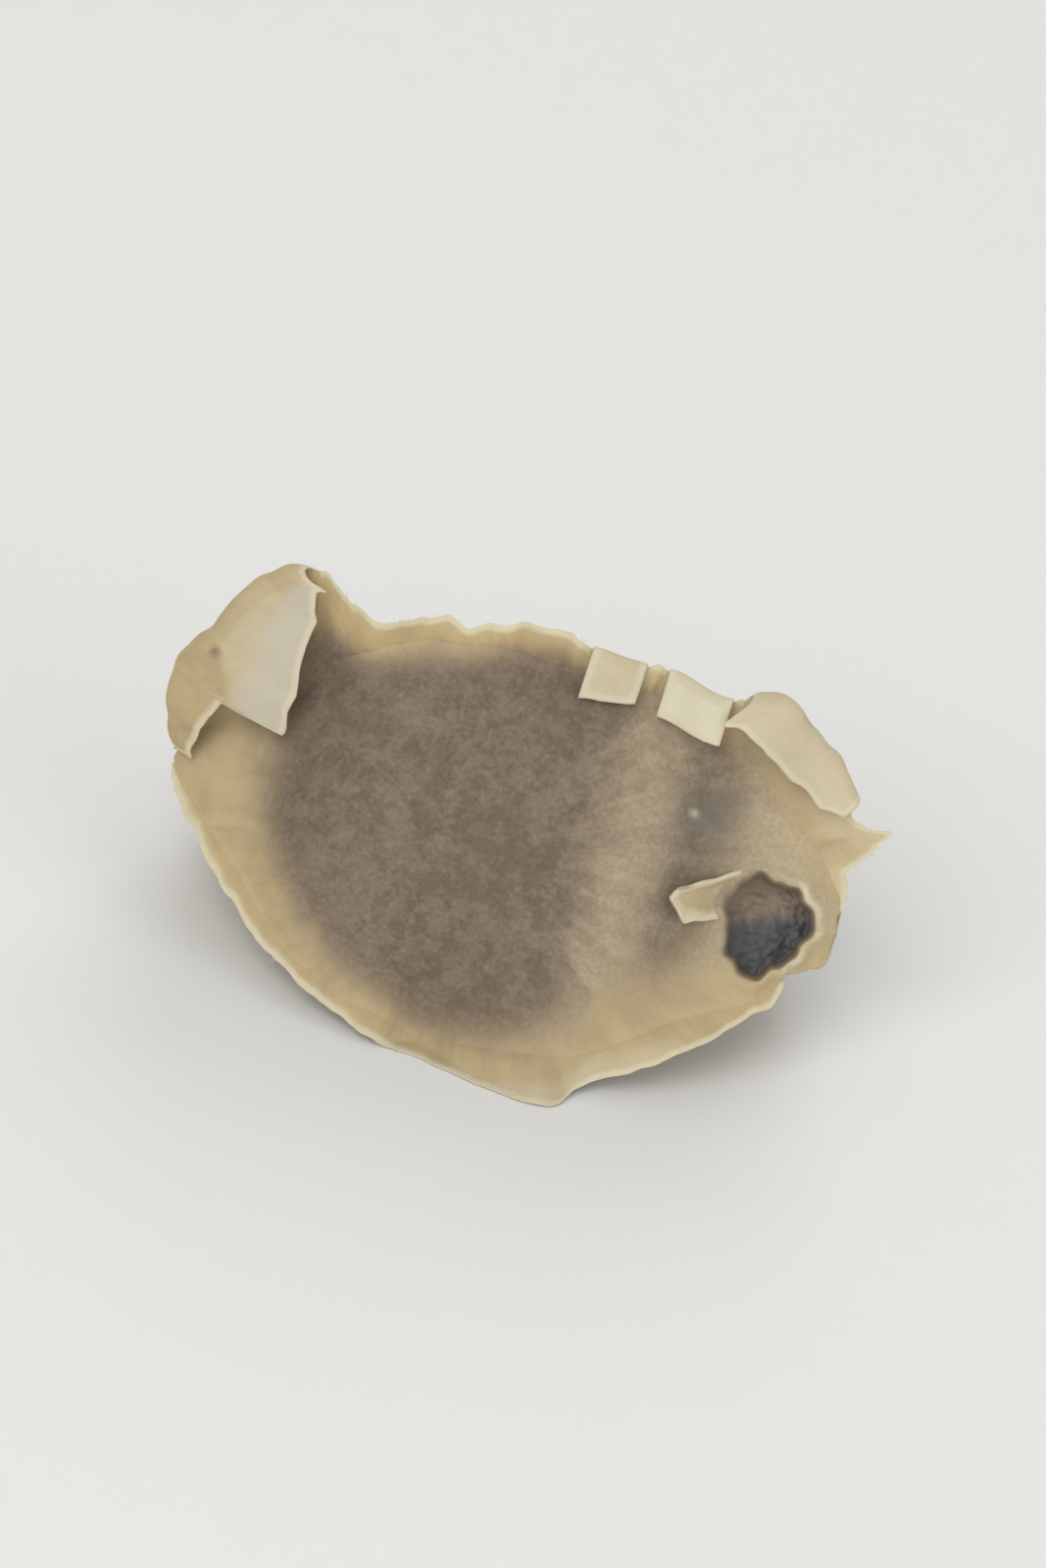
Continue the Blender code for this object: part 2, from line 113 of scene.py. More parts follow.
# Hull: a rounded triangle in section. HULL_SWELL holds places and the share of the full section there, which
# is averaged over SWELL_SPREAD to each side but kept small at the tips. The rings of its mesh crowd towards
# its ends and its torn hollow, and its sides crowd towards the ridges.
FACE_DISTANCE = 3.8
CORNER_RADIUS = 6.0
CORNER_SHARPNESS = 4.0
HULL_SWELL = (
    (-9.9, 0.0), (-9.3, 0.17), (-8.4, 0.28), (-7.4, 0.40), (-6.5, 0.60), (-5.4, 0.82), (-3.8, 0.95),
    (-0.6, 1.0), (2.4, 0.96), (4.0, 0.86), (5.2, 0.69), (6.4, 0.55), (7.6, 0.47), (8.7, 0.36),
    (9.4, 0.21), (9.8, 0.0),
)
SWELL_SPREAD = 0.75
SWELL_LIMIT = 2.5
HULL_SIDES = 396
HULL_RINGS = 236
SIDE_CROWDING = 0.22
END_CROWDING = 0.4
HOLLOW_CROWDING = 0.45
HOLLOW_CROWDING_WIDTH = 1.5

# The hull's corners stay CORNER_ROOM inside the outline of their wings, and run up into the wing in a hollow
# sweep, given by its height, its width and its thinnest half. The sweep ends inside the wing.
CORNER_ROOM = 1.15
CORNER_LEAST = 4.05
SWEEP_RISE = 0.46
SWEEP_WIDTH = 1.5
SWEEP_THIN = 0.02
SWEEP_STOP = 0.3
SWEEP_RISE_AT_TIPS = 0.3
SWEEP_WIDTH_AT_TIPS = 0.4
LEAST_ROOM = 0.05
LEAST_SHARE = 0.05
TIP_SHARE = 0.12
OUTLINE_STEPS = 200

# Dents and finer relief of the hull, as (height, size of its bumps), which fade out near the ridges and tips.
# Beside its ridges the hull follows the waves of its wings, less and less over RIDGE_SWAY degrees.
DENT_DEPTH = 0.12
DENT_ALONG = 1.3
DENT_ROUND = 2.0
HULL_RELIEF = ((0.10, 2.6), (0.045, 0.85), (0.016, 0.26))
HULL_OCTAVES = 3
CALM_RIDGE = (3.0, 22.0)
CALM_TIP = (0.0, 0.5)
RIDGE_SWAY = 13.0
CRUMPLE_REACH = 2.5

# Outlines of the wings as (place, distance), and the direction of each wing by place.
UPPER_EDGE = (
    (-9.9, 0.3), (-10.25, 1.2), (-10.42, 2.8), (-10.25, 3.9), (-9.6, 4.9), (-9.1, 5.9), (-8.4, 6.9),
    (-7.75, 7.5), (-7.2, 7.6), (-6.6, 7.0), (-5.6, 6.45), (-4.5, 6.5), (-2.1, 6.8), (-0.1, 7.5), (0.8, 7.1),
    (3.0, 6.85), (5.1, 6.75), (5.8, 7.3), (6.6, 7.35), (7.7, 6.4), (8.7, 5.5), (9.4, 4.7), (9.2, 4.1),
    (9.35, 3.85), (10.45, 3.9), (10.1, 3.2), (9.75, 2.3), (9.7, 0.3),
)
FRONT_EDGE = (
    (-9.9, 0.2), (-9.7, 0.8), (-8.8, 2.1), (-7.4, 3.75), (-5.9, 5.0), (-4.2, 6.1), (-2.2, 6.8),
    (-0.1, 7.25), (1.4, 7.5), (2.8, 7.6), (3.3, 7.35), (3.75, 6.5), (5.2, 5.75), (6.4, 4.9), (7.6, 3.75),
    (8.45, 2.75), (8.62, 2.25), (8.66, 1.95),
)
BACK_EDGE = (
    (-9.8, 0.3), (-9.7, 2.2), (-8.9, 3.6), (-8.1, 5.3), (-6.8, 6.6), (-6.0, 7.8), (-4.6, 8.8), (-3.5, 8.4),
    (-2.8, 7.3), (-1.0, 7.7), (1.6, 7.8), (2.5, 7.0), (3.4, 8.3), (4.6, 8.9), (5.8, 8.3), (6.6, 6.9),
    (7.7, 6.2), (8.5, 4.9), (9.6, 4.0), (9.4, 2.4), (9.7, 0.3),
)

UPPER_SLOPE = ((-10.0, 93.0), (-4.0, 91.0), (2.0, 88.0), (6.0, 90.0), (10.0, 94.0))
FRONT_SLOPE = ((-10.0, 211.0), (-5.0, 215.0), (-1.0, 219.5), (3.0, 215.5), (6.0, 213.0), (10.0, 209.0))
BACK_SLOPE = ((-10.0, 333.0), (-5.0, 328.5), (0.0, 331.0), (5.0, 328.5), (10.0, 332.0))
SLOPE_SPREAD = 1.6
SPREAD_SAMPLES = 9

# Flaps folded over from a wing's edge. Start and end are distances along the edge from its left end, fold is
# how far the flap turns at both sides, radius that of its bend, drift its slant along the axis, curl how far
# its free part bends on, ragged the size of its torn edge and crumple the share of the wing's crumples that
# it has. The tables hold values by the share across: hang is the length below the fold, tan how far the tan
# of the wing runs on over the fold, white how white the flap is, and white_from the share of its length
# where that starts. Paper is how cream it is between the tan and the white, and grey how dull the white is.
NOWHERE = ((0.0, 0.0), (1.0, 0.0))
UPPER_FLAPS = (
    dict(start=0.5, end=8.7, fold=(172.0, 168.0), radius=0.40, drift=0.12, curl=-6.0, ragged=0.045,
         crumple=0.6, paper=0.75,
         hang=((0.0, 0.75), (0.08, 0.95), (0.16, 1.25), (0.26, 1.5), (0.345, 1.7), (0.36, 2.7), (0.375, 3.7),
               (0.4, 3.65), (0.43, 3.5), (0.52, 3.2), (0.665, 2.6), (0.835, 1.95), (0.95, 1.0), (1.0, 0.85)),
         tan=((0.0, 3.0), (0.30, 3.0), (0.36, 1.5), (0.43, 1.1), (0.52, 0.2), (0.56, 0.0), (1.0, 0.0)),
         white=((0.0, 0.0), (0.345, 0.0), (0.365, 1.0), (1.0, 1.0)),
         white_from=((0.0, 0.5), (0.34, 0.5), (0.5, 0.46), (0.8, 0.3), (1.0, 0.2)), grey=0.85),
    dict(start=17.5, end=19.15, fold=(168.0, 166.0), radius=0.17, drift=0.06, curl=-4.0, ragged=0.02,
         crumple=0.1, paper=0.9, hang=((0.0, 1.5), (1.0, 1.18)), tan=NOWHERE, white=((0.0, 0.4), (1.0, 0.15)),
         white_from=NOWHERE, grey=0.0),
    dict(start=19.8, end=21.8, fold=(166.0, 168.0), radius=0.17, drift=0.0, curl=-6.0, ragged=0.025,
         crumple=0.1, paper=0.9, hang=((0.0, 1.38), (1.0, 1.38)), tan=NOWHERE, white=((0.0, 1.0), (1.0, 1.0)),
         white_from=NOWHERE, grey=0.0),
    dict(start=22.25, end=27.3, fold=(160.0, 152.0), radius=0.28, drift=-0.1, curl=18.0, ragged=0.04,
         crumple=0.5, paper=1.0,
         hang=((0.0, 1.15), (0.08, 1.5), (0.25, 1.6), (0.6, 1.5), (0.85, 1.2), (1.0, 0.7)), tan=NOWHERE,
         white=((0.0, 0.3), (1.0, 0.3)), white_from=NOWHERE, grey=0.0),
)
BACK_FLAPS = (
    dict(start=5.0, end=7.6, fold=(132.0, 126.0), radius=0.25, drift=0.2, curl=14.0, ragged=0.14, crumple=1.0,
         paper=0.8, hang=((0.0, 0.8), (0.2, 1.5), (0.5, 1.9), (0.8, 1.3), (1.0, 0.7)), tan=NOWHERE,
         white=((0.0, 0.8), (1.0, 0.8)), white_from=((0.0, 0.3), (1.0, 0.3)), grey=0.6),
    dict(start=14.1, end=18.4, fold=(138.0, 124.0), radius=0.25, drift=-0.15, curl=16.0, ragged=0.16,
         crumple=1.0, paper=0.8, tan=NOWHERE,
         hang=((0.0, 0.8), (0.1, 1.5), (0.3, 2.5), (0.42, 2.6), (0.55, 1.9), (0.75, 2.2), (0.9, 1.5),
               (1.0, 0.8)),
         white=((0.0, 1.0), (1.0, 0.7)), white_from=((0.0, 0.3), (1.0, 0.4)), grey=1.0),
    dict(start=25.6, end=28.4, fold=(146.0, 138.0), radius=0.25, drift=-0.3, curl=12.0, ragged=0.14,
         crumple=1.0, paper=0.8, tan=NOWHERE,
         hang=((0.0, 0.8), (0.2, 1.3), (0.55, 1.9), (0.85, 1.2), (1.0, 0.7)),
         white=((0.0, 0.9), (1.0, 0.9)), white_from=((0.0, 0.2), (1.0, 0.2)), grey=0.4),
)

# The three wings. Fray is the size of the frays of the torn edge, tear that of its finer tears, paper how
# cream the sheet is along its edge by place, and paper_width how far in, seed shifts frays and waves, side is
# the side of the face's middle that the wing's fibres run from, and fibres how many loose fibres its edge
# has.
WINGS = {
    "upper_wing": dict(edge=UPPER_EDGE, slope=UPPER_SLOPE, flaps=UPPER_FLAPS,
                       fray=0.12, tear=0.09, seed=1, side=1.0, fibres=30,
                       paper=((-10.0, 0.4), (-5.0, 0.3), (0.0, 0.5), (5.0, 0.8), (6.0, 1.0), (10.0, 1.0)),
                       paper_width=((-10.0, 1.1), (5.0, 1.1), (8.0, 2.4), (10.0, 2.6))),
    "front_wing": dict(edge=FRONT_EDGE, slope=FRONT_SLOPE, flaps=(),
                       fray=0.05, tear=0.045, seed=2, side=-1.0, fibres=10,
                       paper=((-10.0, 1.0), (-8.0, 0.9), (-5.0, 0.25), (1.0, 0.5), (3.0, 1.0), (5.5, 0.95),
                              (7.0, 0.2), (10.0, 0.0)),
                       paper_width=((-10.0, 0.75), (-6.0, 0.5), (1.0, 0.7), (3.0, 1.5), (10.0, 1.2))),
    "back_wing": dict(edge=BACK_EDGE, slope=BACK_SLOPE, flaps=BACK_FLAPS,
                      fray=0.22, tear=0.15, seed=3, side=-1.0, fibres=30,
                      paper=((-10.0, 0.8), (10.0, 0.8)), paper_width=((-10.0, 1.3), (10.0, 1.3))),
}

# Wing sheets: width of a column along the edge, rows from root to edge, and rows of the bend and of the flap.
# Their roots lie inside the hull, and over the hollow they are lifted so that it shows no wing.
COLUMN_WIDTH = 0.085
CURVE_STEPS = 24
WING_ROWS = 48
BEND_ROWS = 10
FLAP_ROWS = 30
ROW_CROWDING = 1.35
ROOT_SHARE = 3.6
ROOT_DEPTH = 0.6
ROOT_ENDS = (-8.3, 8.3)
ROOT_LEAN = 0.4
ROOT_LIFT = (1.2, 1.1)
RIDGE_REACH = 0.35

# Ripples: each has a height, its radians a millimetre and its shift from one wing to the next.
FRAY_RIPPLES = ((0.5, 2.9, 1.7), (0.3, 5.3, 2.3), (0.2, 7.1, 0.9))
WAVE_RIPPLES = ((0.26, 1.15, 1.3), (0.12, 2.6, 2.1))
WAVE_START = 2.0
WAVE_GROWTH = 5.0
WAVE_EASE = 1.5

# Torn edges have corners about this far apart, coarse and fine, and crumples are (height, size along, out).
TEAR_STEPS = (0.55, 0.2)
FINE_TEARS = 0.4
CORNER_STRAY = 0.35
SPARE_CORNERS = 3
STEP_SEED = 100
TEAR_FADE = 0.25
CRUMPLES = ((0.15, 1.9, 2.4), (0.055, 0.8, 1.3), (0.016, 0.28, 1.6))
CRUMPLE_OCTAVES = 2
CRUMPLE_START = 1.2
CRUMPLE_RUN = 1.7
CRUMPLE_SHIFT = 7.0
TORN_FLAP_SEED = 11
TORN_TONGUE_SEED = 5
WHITE_SOFTNESS = 0.11
TAN_SOFTNESS = 0.3
FLAP_BROWN = 0.15
SPOT_BROWN = 0.6
CRUMPLE_FADE = 0.6
BEND_SHARE = 0.45
FOLD_FADE = 0.6
THIN_EDGE = 0.45
THIN_FADE = 1.6

# Wing edges that meet the ground bend and lie along it.
GROUND_GAP = 0.06
GROUND_SOFTNESS = 0.05
GROUND_SPREAD = 0.36

# Hollow torn into the front face: its place and height, half length and half height, depth with its
# roughness, and where its wall starts and ends as shares of its size. A low lip of torn coat runs round it.
HOLLOW_PLACE = 7.72
HOLLOW_HEIGHT = -0.22
HOLLOW_SIZE = (1.3, 1.5)
HOLLOW_DEPTH = 1.45
HOLLOW_ROUGHNESS = (0.22, 0.45)
HOLLOW_WALL = (0.84, 1.0)
HOLLOW_RIPPLES = ((0.09, 3.0, 0.6), (0.045, 7.0, 0.0), (0.025, 13.0, 1.1))
HOLLOW_LIP = (1.1, 0.1, 0.06)
HOLLOW_SHOWN_LIP = (1.08, 0.09)
HOLLOW_LIP_SIDE = (0.1, 0.7)
# Painted shade in the hollow: over this span of its lean measure it turns from the lighter upper wall to
# dark, darkest towards its lower right.
HOLLOW_DARK = (-0.7, 0.5)
HOLLOW_DARK_LEAN = 0.3
FAR_AWAY = 9.0

# Tongue of coat peeled back from the hollow. Its hinge runs round the hollow between two directions, and its
# tip is given by its place and its height on the face. It lifts off the face towards its tip.
TONGUE_TURNS = (116.0, 184.0)
TONGUE_HINGE = 1.05
TONGUE_TIP = (4.9, 0.02)
TONGUE_BELLY = 0.5
TONGUE_CORNER = 0.68
TONGUE_TIP_SHARE = 0.2
TONGUE_SUNK = 0.12
TONGUE_LIFT = 0.55
TONGUE_EASE = 1.4
TONGUE_CUP = 0.14
TONGUE_RAGGED = 0.1
TONGUE_TEAR_RUN = 2.4
TONGUE_HALF_WIDTHS = (1.0, 0.2)
TONGUE_LENGTH = 2.2
TONGUE_BROWN = 0.7
TONGUE_PAPER = 0.6
TONGUE_CREAM = (0.2, 1.0)
TONGUE_COLUMNS = 44
TONGUE_ROWS = 50
FACE_SEARCHES = 6

# The coat is pale at a wing's edge and turns brown between two distances from it, given by (place, distance).
# It is also pale near the left tip, in a streak across the hull and at the torn end. A dark stain lies beside
# the hollow, given by its place, its height on the front face and its size, with a tiny pale fleck.
PALE_STARTS = {
    "upper_wing": ((-10.0, 0.9), (-5.0, 0.4), (-3.0, 0.1), (-1.0, 0.0), (1.0, 0.0), (5.0, 0.0), (7.0, 1.2),
                   (10.0, 1.2)),
    "front_wing": ((-10.0, 0.0), (-5.0, -0.1), (0.0, -0.2), (1.5, 0.1), (3.0, 0.8), (5.0, 0.9), (7.0, -0.2),
                   (10.0, -0.2)),
    "back_wing": ((-10.0, 0.2), (-4.0, -0.2), (1.0, -0.3), (5.0, 0.3), (10.0, 0.6)),
}
PALE_ENDS = {
    "upper_wing": ((-10.0, 3.2), (-5.0, 2.3), (-3.0, 1.7), (-1.0, 1.7), (1.0, 1.6), (5.0, 1.9), (7.0, 5.0),
                   (10.0, 5.5)),
    "front_wing": ((-10.0, 4.2), (-7.0, 4.0), (-6.0, 3.0), (-5.0, 2.4), (0.0, 2.2), (1.0, 2.8), (3.0, 4.0),
                   (5.0, 4.4), (10.0, 4.4)),
    "back_wing": ((-10.0, 3.8), (-4.0, 2.6), (1.0, 2.3), (5.0, 3.4), (10.0, 4.0)),
}
PALE_TIP = (-9.0, -5.6)
PALE_STREAK = (3.5, 1.5, 0.6)
PALE_END = (3.4, 8.6)
STAIN = (5.4, 2.4, 0.85)
STAIN_FLECK = (4.9, 2.3, 0.12)
WING_SPOT = (-9.4, 4.4, 0.17)

# Fibres run outward from the middle of each face.
DOME_PLACE = -0.6
DOME_SIZE = (5.9, 5.2)
STREAKS_ROUND = 9.0
STREAKS_OUT = 1.3

# Noises of the coat, as (bumps a millimetre, detail, roughness). The streak noises follow the fibres.
STREAK_NOISES = {"streak": (1.0, 4.0, 0.6), "fine_streak": (3.6, 3.0, 0.6)}
COAT_NOISES = {
    "cloud": (0.42, 3.0, 0.55), "mottle": (1.7, 5.0, 0.66), "fleck": (6.5, 3.0, 0.65),
    "grain": (19.0, 2.0, 0.6),
}

# Looks of the coat. Each starts from a noise or from a mark of the mesh. Swings are the sizes of the ups and
# downs that noises add to it. Rise holds the two values between which the look's share changes, and its
# shares at both if they aren't 0 and 1.
SLOPE_SWINGS = {"cloud": 0.3, "mottle": 0.35, "streak": 0.15}
LOOKS = {
    "light": dict(noise="mottle", swings={"cloud": 0.6, "fleck": 0.3}, rise=(0.36, 0.64)),
    "flecks": dict(noise="fleck", swings={}, rise=(0.58, 0.76, 0.0, 0.22)),
    "rosy": dict(mark="rosy", swings={"streak": 0.6, "fine_streak": 0.12, "cloud": 0.3, "mottle": 0.15},
                 rise=(0.0, 1.0)),
    "shade": dict(noise="fleck", swings={}, rise=(0.3, 0.7, 0.9, 1.1)),
    "tan": dict(noise="streak", swings={"cloud": 0.5, "mottle": 0.3}, rise=(0.34, 0.74)),
    "brown": dict(mark="brown", swings=SLOPE_SWINGS, rise=(0.04, 0.96)),
    "thin": dict(mark="brown", swings=SLOPE_SWINGS, rise=(0.2, 0.9, 1.0, 0.0)),
    "dark cream": dict(noise="streak", swings={"mottle": 0.4}, rise=(0.42, 0.72)),
    "paper": dict(mark="paper", swings={"mottle": 0.3}, rise=(0.08, 0.85)),
    "patchy stain": dict(noise="mottle", swings={}, rise=(0.3, 0.6, 0.5, 0.8)),
    "rim": dict(mark="rim", swings={"mottle": 0.2}, rise=(0.10, 0.28, 0.85, 0.0)),
    "patchy lip": dict(noise="mottle", swings={}, rise=(0.35, 0.6, 0.3, 0.9)),
    # Painted shade of the hollow, darker towards its lower right.
    "sunk": dict(mark="sunk", swings={"mottle": 0.5}, rise=(0.1, 0.7)),
}
GRAIN_SHADE = 0.3
STAIN_FLECK_SHARE = 0.6

# Surface of the coat: its fine bumps, its roughness on the hull and where it is thin, and the light that
# shines into papery parts.
COAT_BUMPS = {"fleck": 0.5, "grain": 0.25}
FIBRE_BUMP = 0.8
BUMP_HEIGHT = 0.05
BUMP_STRENGTH = 0.8
COAT_ROUGHNESS = (0.86, 0.70)
COAT_SHINE = 0.3
PAPER_GLOW = 0.3
PAPER_GLOW_COLOUR = (1.0, 0.8, 0.5)
PAPER_GLOW_REACH = 0.3
FIBRE_ROUGHNESS = 0.7

# Loose fibres on the torn edges.
FIBRE_STEPS = 6
FIBRE_STRIDES = (0.02, 0.07)
FIBRE_SPREAD = 0.4
FIBRE_BEND = 0.5
FIBRE_ENDS = 8
FIBRE_ROOT = 9
FIBRE_SEED = 21

# Stage: sizes of the floor's bowl, and the lights with the setting of their power, their size and their
# place, in metres.
BOWL_FLAT = 0.55
BOWL_BEND = 0.25
BOWL_WALL = 0.9
BOWL_BEND_STEPS = 12
BOWL_WELD = 1e-6
BOWL_SIDES = 96
FLOOR_ROUGHNESS = 0.9
CAMERA_CLIP = (0.01, 10.0)
LIGHTS = (
    ("key_light", "key_power", 0.35, (-0.17, -0.44, 0.38)),
    ("fill_light", "fill_power", 0.5, (0.42, -0.30, 0.16)),
    ("back_light", "fill_power", 0.4, (0.05, 0.45, 0.35)),
)
SKY_COLOUR = (1.0, 0.99, 0.97, 1.0)

# Sockets of the mix node: its share, its two colours, and the colour that it gives.
MIX_SHARE, MIX_FIRST, MIX_SECOND = 0, 6, 7
MIX_RESULT = 2


def smooth(low, high, value):
    """0 below low, 1 above high, and a soft rise between them."""
    share = np.clip((value - low) / (high - low), 0.0, 1.0)
    return share * share * (3.0 - 2.0 * share)


def value_at(table, place, spread=0.0):
    """Values of a (place, value) table, averaged over a spread to each side so that no corner shows."""
    places, values = zip(*table)
    steps = np.linspace(-1.0, 1.0, SPREAD_SAMPLES)
    near = [np.interp(place + spread * step, places, values) for step in steps]
    return np.mean(near, axis=0)


def picked(choices, which):
    """For each point, the value that its number picks from several arrays."""
    return np.take_along_axis(np.stack(choices), which[None], axis=0)[0]


def ripple(parts, distance, seed):
    """Sum of sine ripples at a distance, shifted by the seed."""
    return sum(height * np.sin(rate * distance + shift * seed) for height, rate, shift in parts)


def torn(walked, seed):
    """Angular ups and downs of a torn edge, coarse and fine, mostly between -1 and 1."""
    total = np.zeros(np.shape(walked))
    for step, share in zip(TEAR_STEPS, (1.0, FINE_TEARS)):
        draw = np.random.default_rng([seed, round(step * STEP_SEED)])
        amount = int(np.max(walked) / step) + SPARE_CORNERS
        corners = (np.arange(amount) + draw.uniform(-CORNER_STRAY, CORNER_STRAY, amount)) * step
        total = total + share * np.interp(walked, corners, draw.uniform(-1.0, 1.0, amount))
    return total


def bumps(points, octaves=HULL_OCTAVES):
    """Smooth noise at an array of points, about -1 to 1."""
    return np.array([noise.fractal(point, 1.0, 2.0, octaves) for point in points.tolist()])


def curve_through(points, amount):
    """Evenly spaced points of a smooth cubic curve through the given points, and the curve's length."""
    given = np.array(points, dtype=float)
    padded = np.vstack([2 * given[0] - given[1], given, 2 * given[-1] - given[-2]])
    fine = []
    for k in range(len(given) - 1):
        a, b, c, d = padded[k:k + 4]
        for t in np.linspace(0.0, 1.0, CURVE_STEPS, endpoint=False):
            fine.append(0.5 * (2 * b + (c - a) * t + (2 * a - 5 * b + 4 * c - d) * t ** 2
                               + (3 * b - a - 3 * c + d) * t ** 3))
    fine.append(given[-1])
    fine = np.array(fine)
    walked = np.concatenate([[0.0], np.cumsum(np.linalg.norm(np.diff(fine, axis=0), axis=1))])
    stops = np.linspace(0.0, walked[-1], amount)
    return np.column_stack([np.interp(stops, walked, fine[:, n]) for n in range(2)]), walked[-1]


def swell(place):
    """Share of the full hull section at places along the axis."""
    return np.minimum(value_at(HULL_SWELL, place, SWELL_SPREAD), SWELL_LIMIT * value_at(HULL_SWELL, place))


def outline_of(wing):
    """Places, distances from the axis and distances along the edge of a wing's outline, sorted by place."""
    points, length = curve_through(wing["edge"], OUTLINE_STEPS)
    order = np.argsort(points[:, 0])
    return points[order, 0], points[order, 1], np.linspace(0.0, length, OUTLINE_STEPS)[order]


def edge_distance(wing, place):
    """Distance of a wing's outline from the axis, at places along it."""
    places, distances, _ = outline_of(wing)
    return np.interp(place, places, distances)


def of_wings(key):
    """One entry of each wing, in the order of the ridges."""
    return np.array([wing[key] for wing in WINGS.values()])


def corner_size(off, share, outline):
    """Corner radius of the full section: smaller near a ridge whose wing is narrow."""
    straight = 2.0 * (math.cos(math.radians(HALF_FACE)) / FACE_DISTANCE) ** CORNER_SHARPNESS
    full = (CORNER_RADIUS ** -CORNER_SHARPNESS + straight) ** (-1.0 / CORNER_SHARPNESS)
    reach = np.clip((outline - CORNER_ROOM) / np.maximum(share, LEAST_SHARE), CORNER_LEAST, full)
    needed = (reach ** -CORNER_SHARPNESS - straight) ** (-1.0 / CORNER_SHARPNESS)
    return CORNER_RADIUS + (needed - CORNER_RADIUS) * np.cos(np.radians(off) * QUARTER_TURN / HALF_FACE) ** 2


def section_radius(angle, corner):
    """Distance from the axis to the full hull section, without the sweep up into the wings."""
    total = corner ** -CORNER_SHARPNESS
    for face in FACES:
        toward = np.cos(np.radians(angle - face))
        total = total + (np.maximum(toward, 0.0) / FACE_DISTANCE) ** CORNER_SHARPNESS
    return total ** (-1.0 / CORNER_SHARPNESS)


def nearest_ridge(angle):
    """Number of the nearest ridge (0 upper, 1 front, 2 back) and the signed angle from it."""
    turns = np.stack([(angle - ridge + HALF_TURN) % FULL_TURN - HALF_TURN for ridge in RIDGES])
    which = np.argmin(np.abs(turns), axis=0)
    return which, picked(turns, which)


def hull_section(angle, place):
    """Distances from the axis to the hull with its sweep into the wings, without it, and to the outline."""
    share = swell(place)
    which, off = nearest_ridge(angle)
    outline = picked([edge_distance(wing, place) for wing in WINGS.values()], which)
    base = share * section_radius(angle, corner_size(off, share, outline))
    beside = np.maximum(base * np.abs(np.sin(np.radians(off))), SWEEP_THIN)
    width = SWEEP_WIDTH * (SWEEP_WIDTH_AT_TIPS + (1.0 - SWEEP_WIDTH_AT_TIPS) * share)
    height = SWEEP_RISE * (SWEEP_RISE_AT_TIPS + (1.0 - SWEEP_RISE_AT_TIPS) * share)
    rise = height * np.log1p((width / beside) ** 2) / 2
    room = np.maximum(outline - SWEEP_STOP - base, LEAST_ROOM)
    swept = base + smooth(0.0, TIP_SHARE, share) * room * (1.0 - np.exp(-rise / room))
    return swept, base, outline


def ridge_slopes(place):
    """Direction of each of the three wings at places along the axis."""
    return np.stack([value_at(wing["slope"], place, SLOPE_SPREAD) for wing in WINGS.values()])


def ridge_turn(angle, slopes):
    """How far the hull is twisted in a direction, so that each ridge meets its wing."""
    turned = slopes - np.array(RIDGES).reshape(-1, *[1] * (slopes.ndim - 1))
    past = (angle - BACK_RIDGE) % FULL_TURN
    sector = np.minimum((past // BETWEEN_RIDGES).astype(int), len(RIDGES) - 1)
    share = smooth(0.0, 1.0, past / BETWEEN_RIDGES - sector)
    # The wings at both sides of each sector, from the back one on.
    order = np.array([2, 0, 1, 2])
    return picked(turned, order[sector]) * (1.0 - share) + picked(turned, order[sector + 1]) * share


def wing_wave(place, distance, seed):
    """Sideways waves of a wing, which grow towards its edge."""
    grown = np.clip((distance - WAVE_START) / WAVE_GROWTH, 0.0, 1.0)
    return grown ** WAVE_EASE * ripple(WAVE_RIPPLES, place, seed)


def row_points(place, distance, aside, slope):
    """Points in the row frame, in millimetres, from places in the frame of a wing with a given slope."""
    turn = np.radians(slope)
    across = distance * np.cos(turn) - aside * np.sin(turn)
    high = distance * np.sin(turn) + aside * np.cos(turn)
    return np.stack([place + AXIS_ALONG, across + AXIS_ACROSS, high + AXIS_HEIGHT], axis=-1)


def settle(points):
    """Bends whatever would reach below the ground, so that it lies along it."""
    settled = points.copy()
    above = (points[..., 2] - GROUND_GAP) / GROUND_SOFTNESS
    settled[..., 2] = GROUND_GAP + GROUND_SOFTNESS * np.logaddexp(0.0, above)
    lost = np.maximum(settled[..., 2] - points[..., 2], 0.0)
    settled[..., 1] += np.sign(points[..., 1] - AXIS_ACROSS) * lost * GROUND_SPREAD
    return settled


def streak_marks(place, height):
    """Coordinates for fibres that run outward from the middle of a face."""
    along = (place - DOME_PLACE) / DOME_SIZE[0]
    high = height / DOME_SIZE[1]
    turn = np.arctan2(high, along)
    return np.stack([
        STREAKS_ROUND * np.cos(turn), STREAKS_ROUND * np.sin(turn), STREAKS_OUT * np.hypot(along, high),
    ], axis=-1)


def brownness(wings, which, place, rim):
    """0 in the pale coat along a wing's edge and at the left tip, and 1 in the brown coat inside it."""
    start = picked([value_at(PALE_STARTS[name], place, SLOPE_SPREAD) for name in wings], which)
    end = picked([value_at(PALE_ENDS[name], place, SLOPE_SPREAD) for name in wings], which)
    return smooth(start, end, rim) * smooth(*PALE_TIP, place)


def paleness(place):
    """How far the brown coat turns pale: a streak across the hull, and its thin torn end."""
    middle, width, most = PALE_STREAK
    return np.maximum(most * np.exp(-((place - middle) / width) ** 2), smooth(*PALE_END, place))


def spot_at(spot, place, height):
    """A soft round spot on a face."""
    middle, middle_height, size = spot
    return np.exp(-((place - middle) ** 2 + (height - middle_height) ** 2) / size ** 2)


def write_marks(mesh, **marks):
    """Writes numbers or vectors to the points of a mesh, each set under its name."""
    for name, values in marks.items():
        vector = values.ndim == 2
        written = mesh.attributes.new(name, "FLOAT_VECTOR" if vector else "FLOAT", "POINT")
        flat = np.ascontiguousarray(values, np.float32).ravel()
        written.data.foreach_set("vector" if vector else "value", flat)


def mesh_from(shape, name):
    """Mesh of a finished shape."""
    mesh = bpy.data.meshes.new(name)
    shape.to_mesh(mesh)
    shape.free()
    return mesh


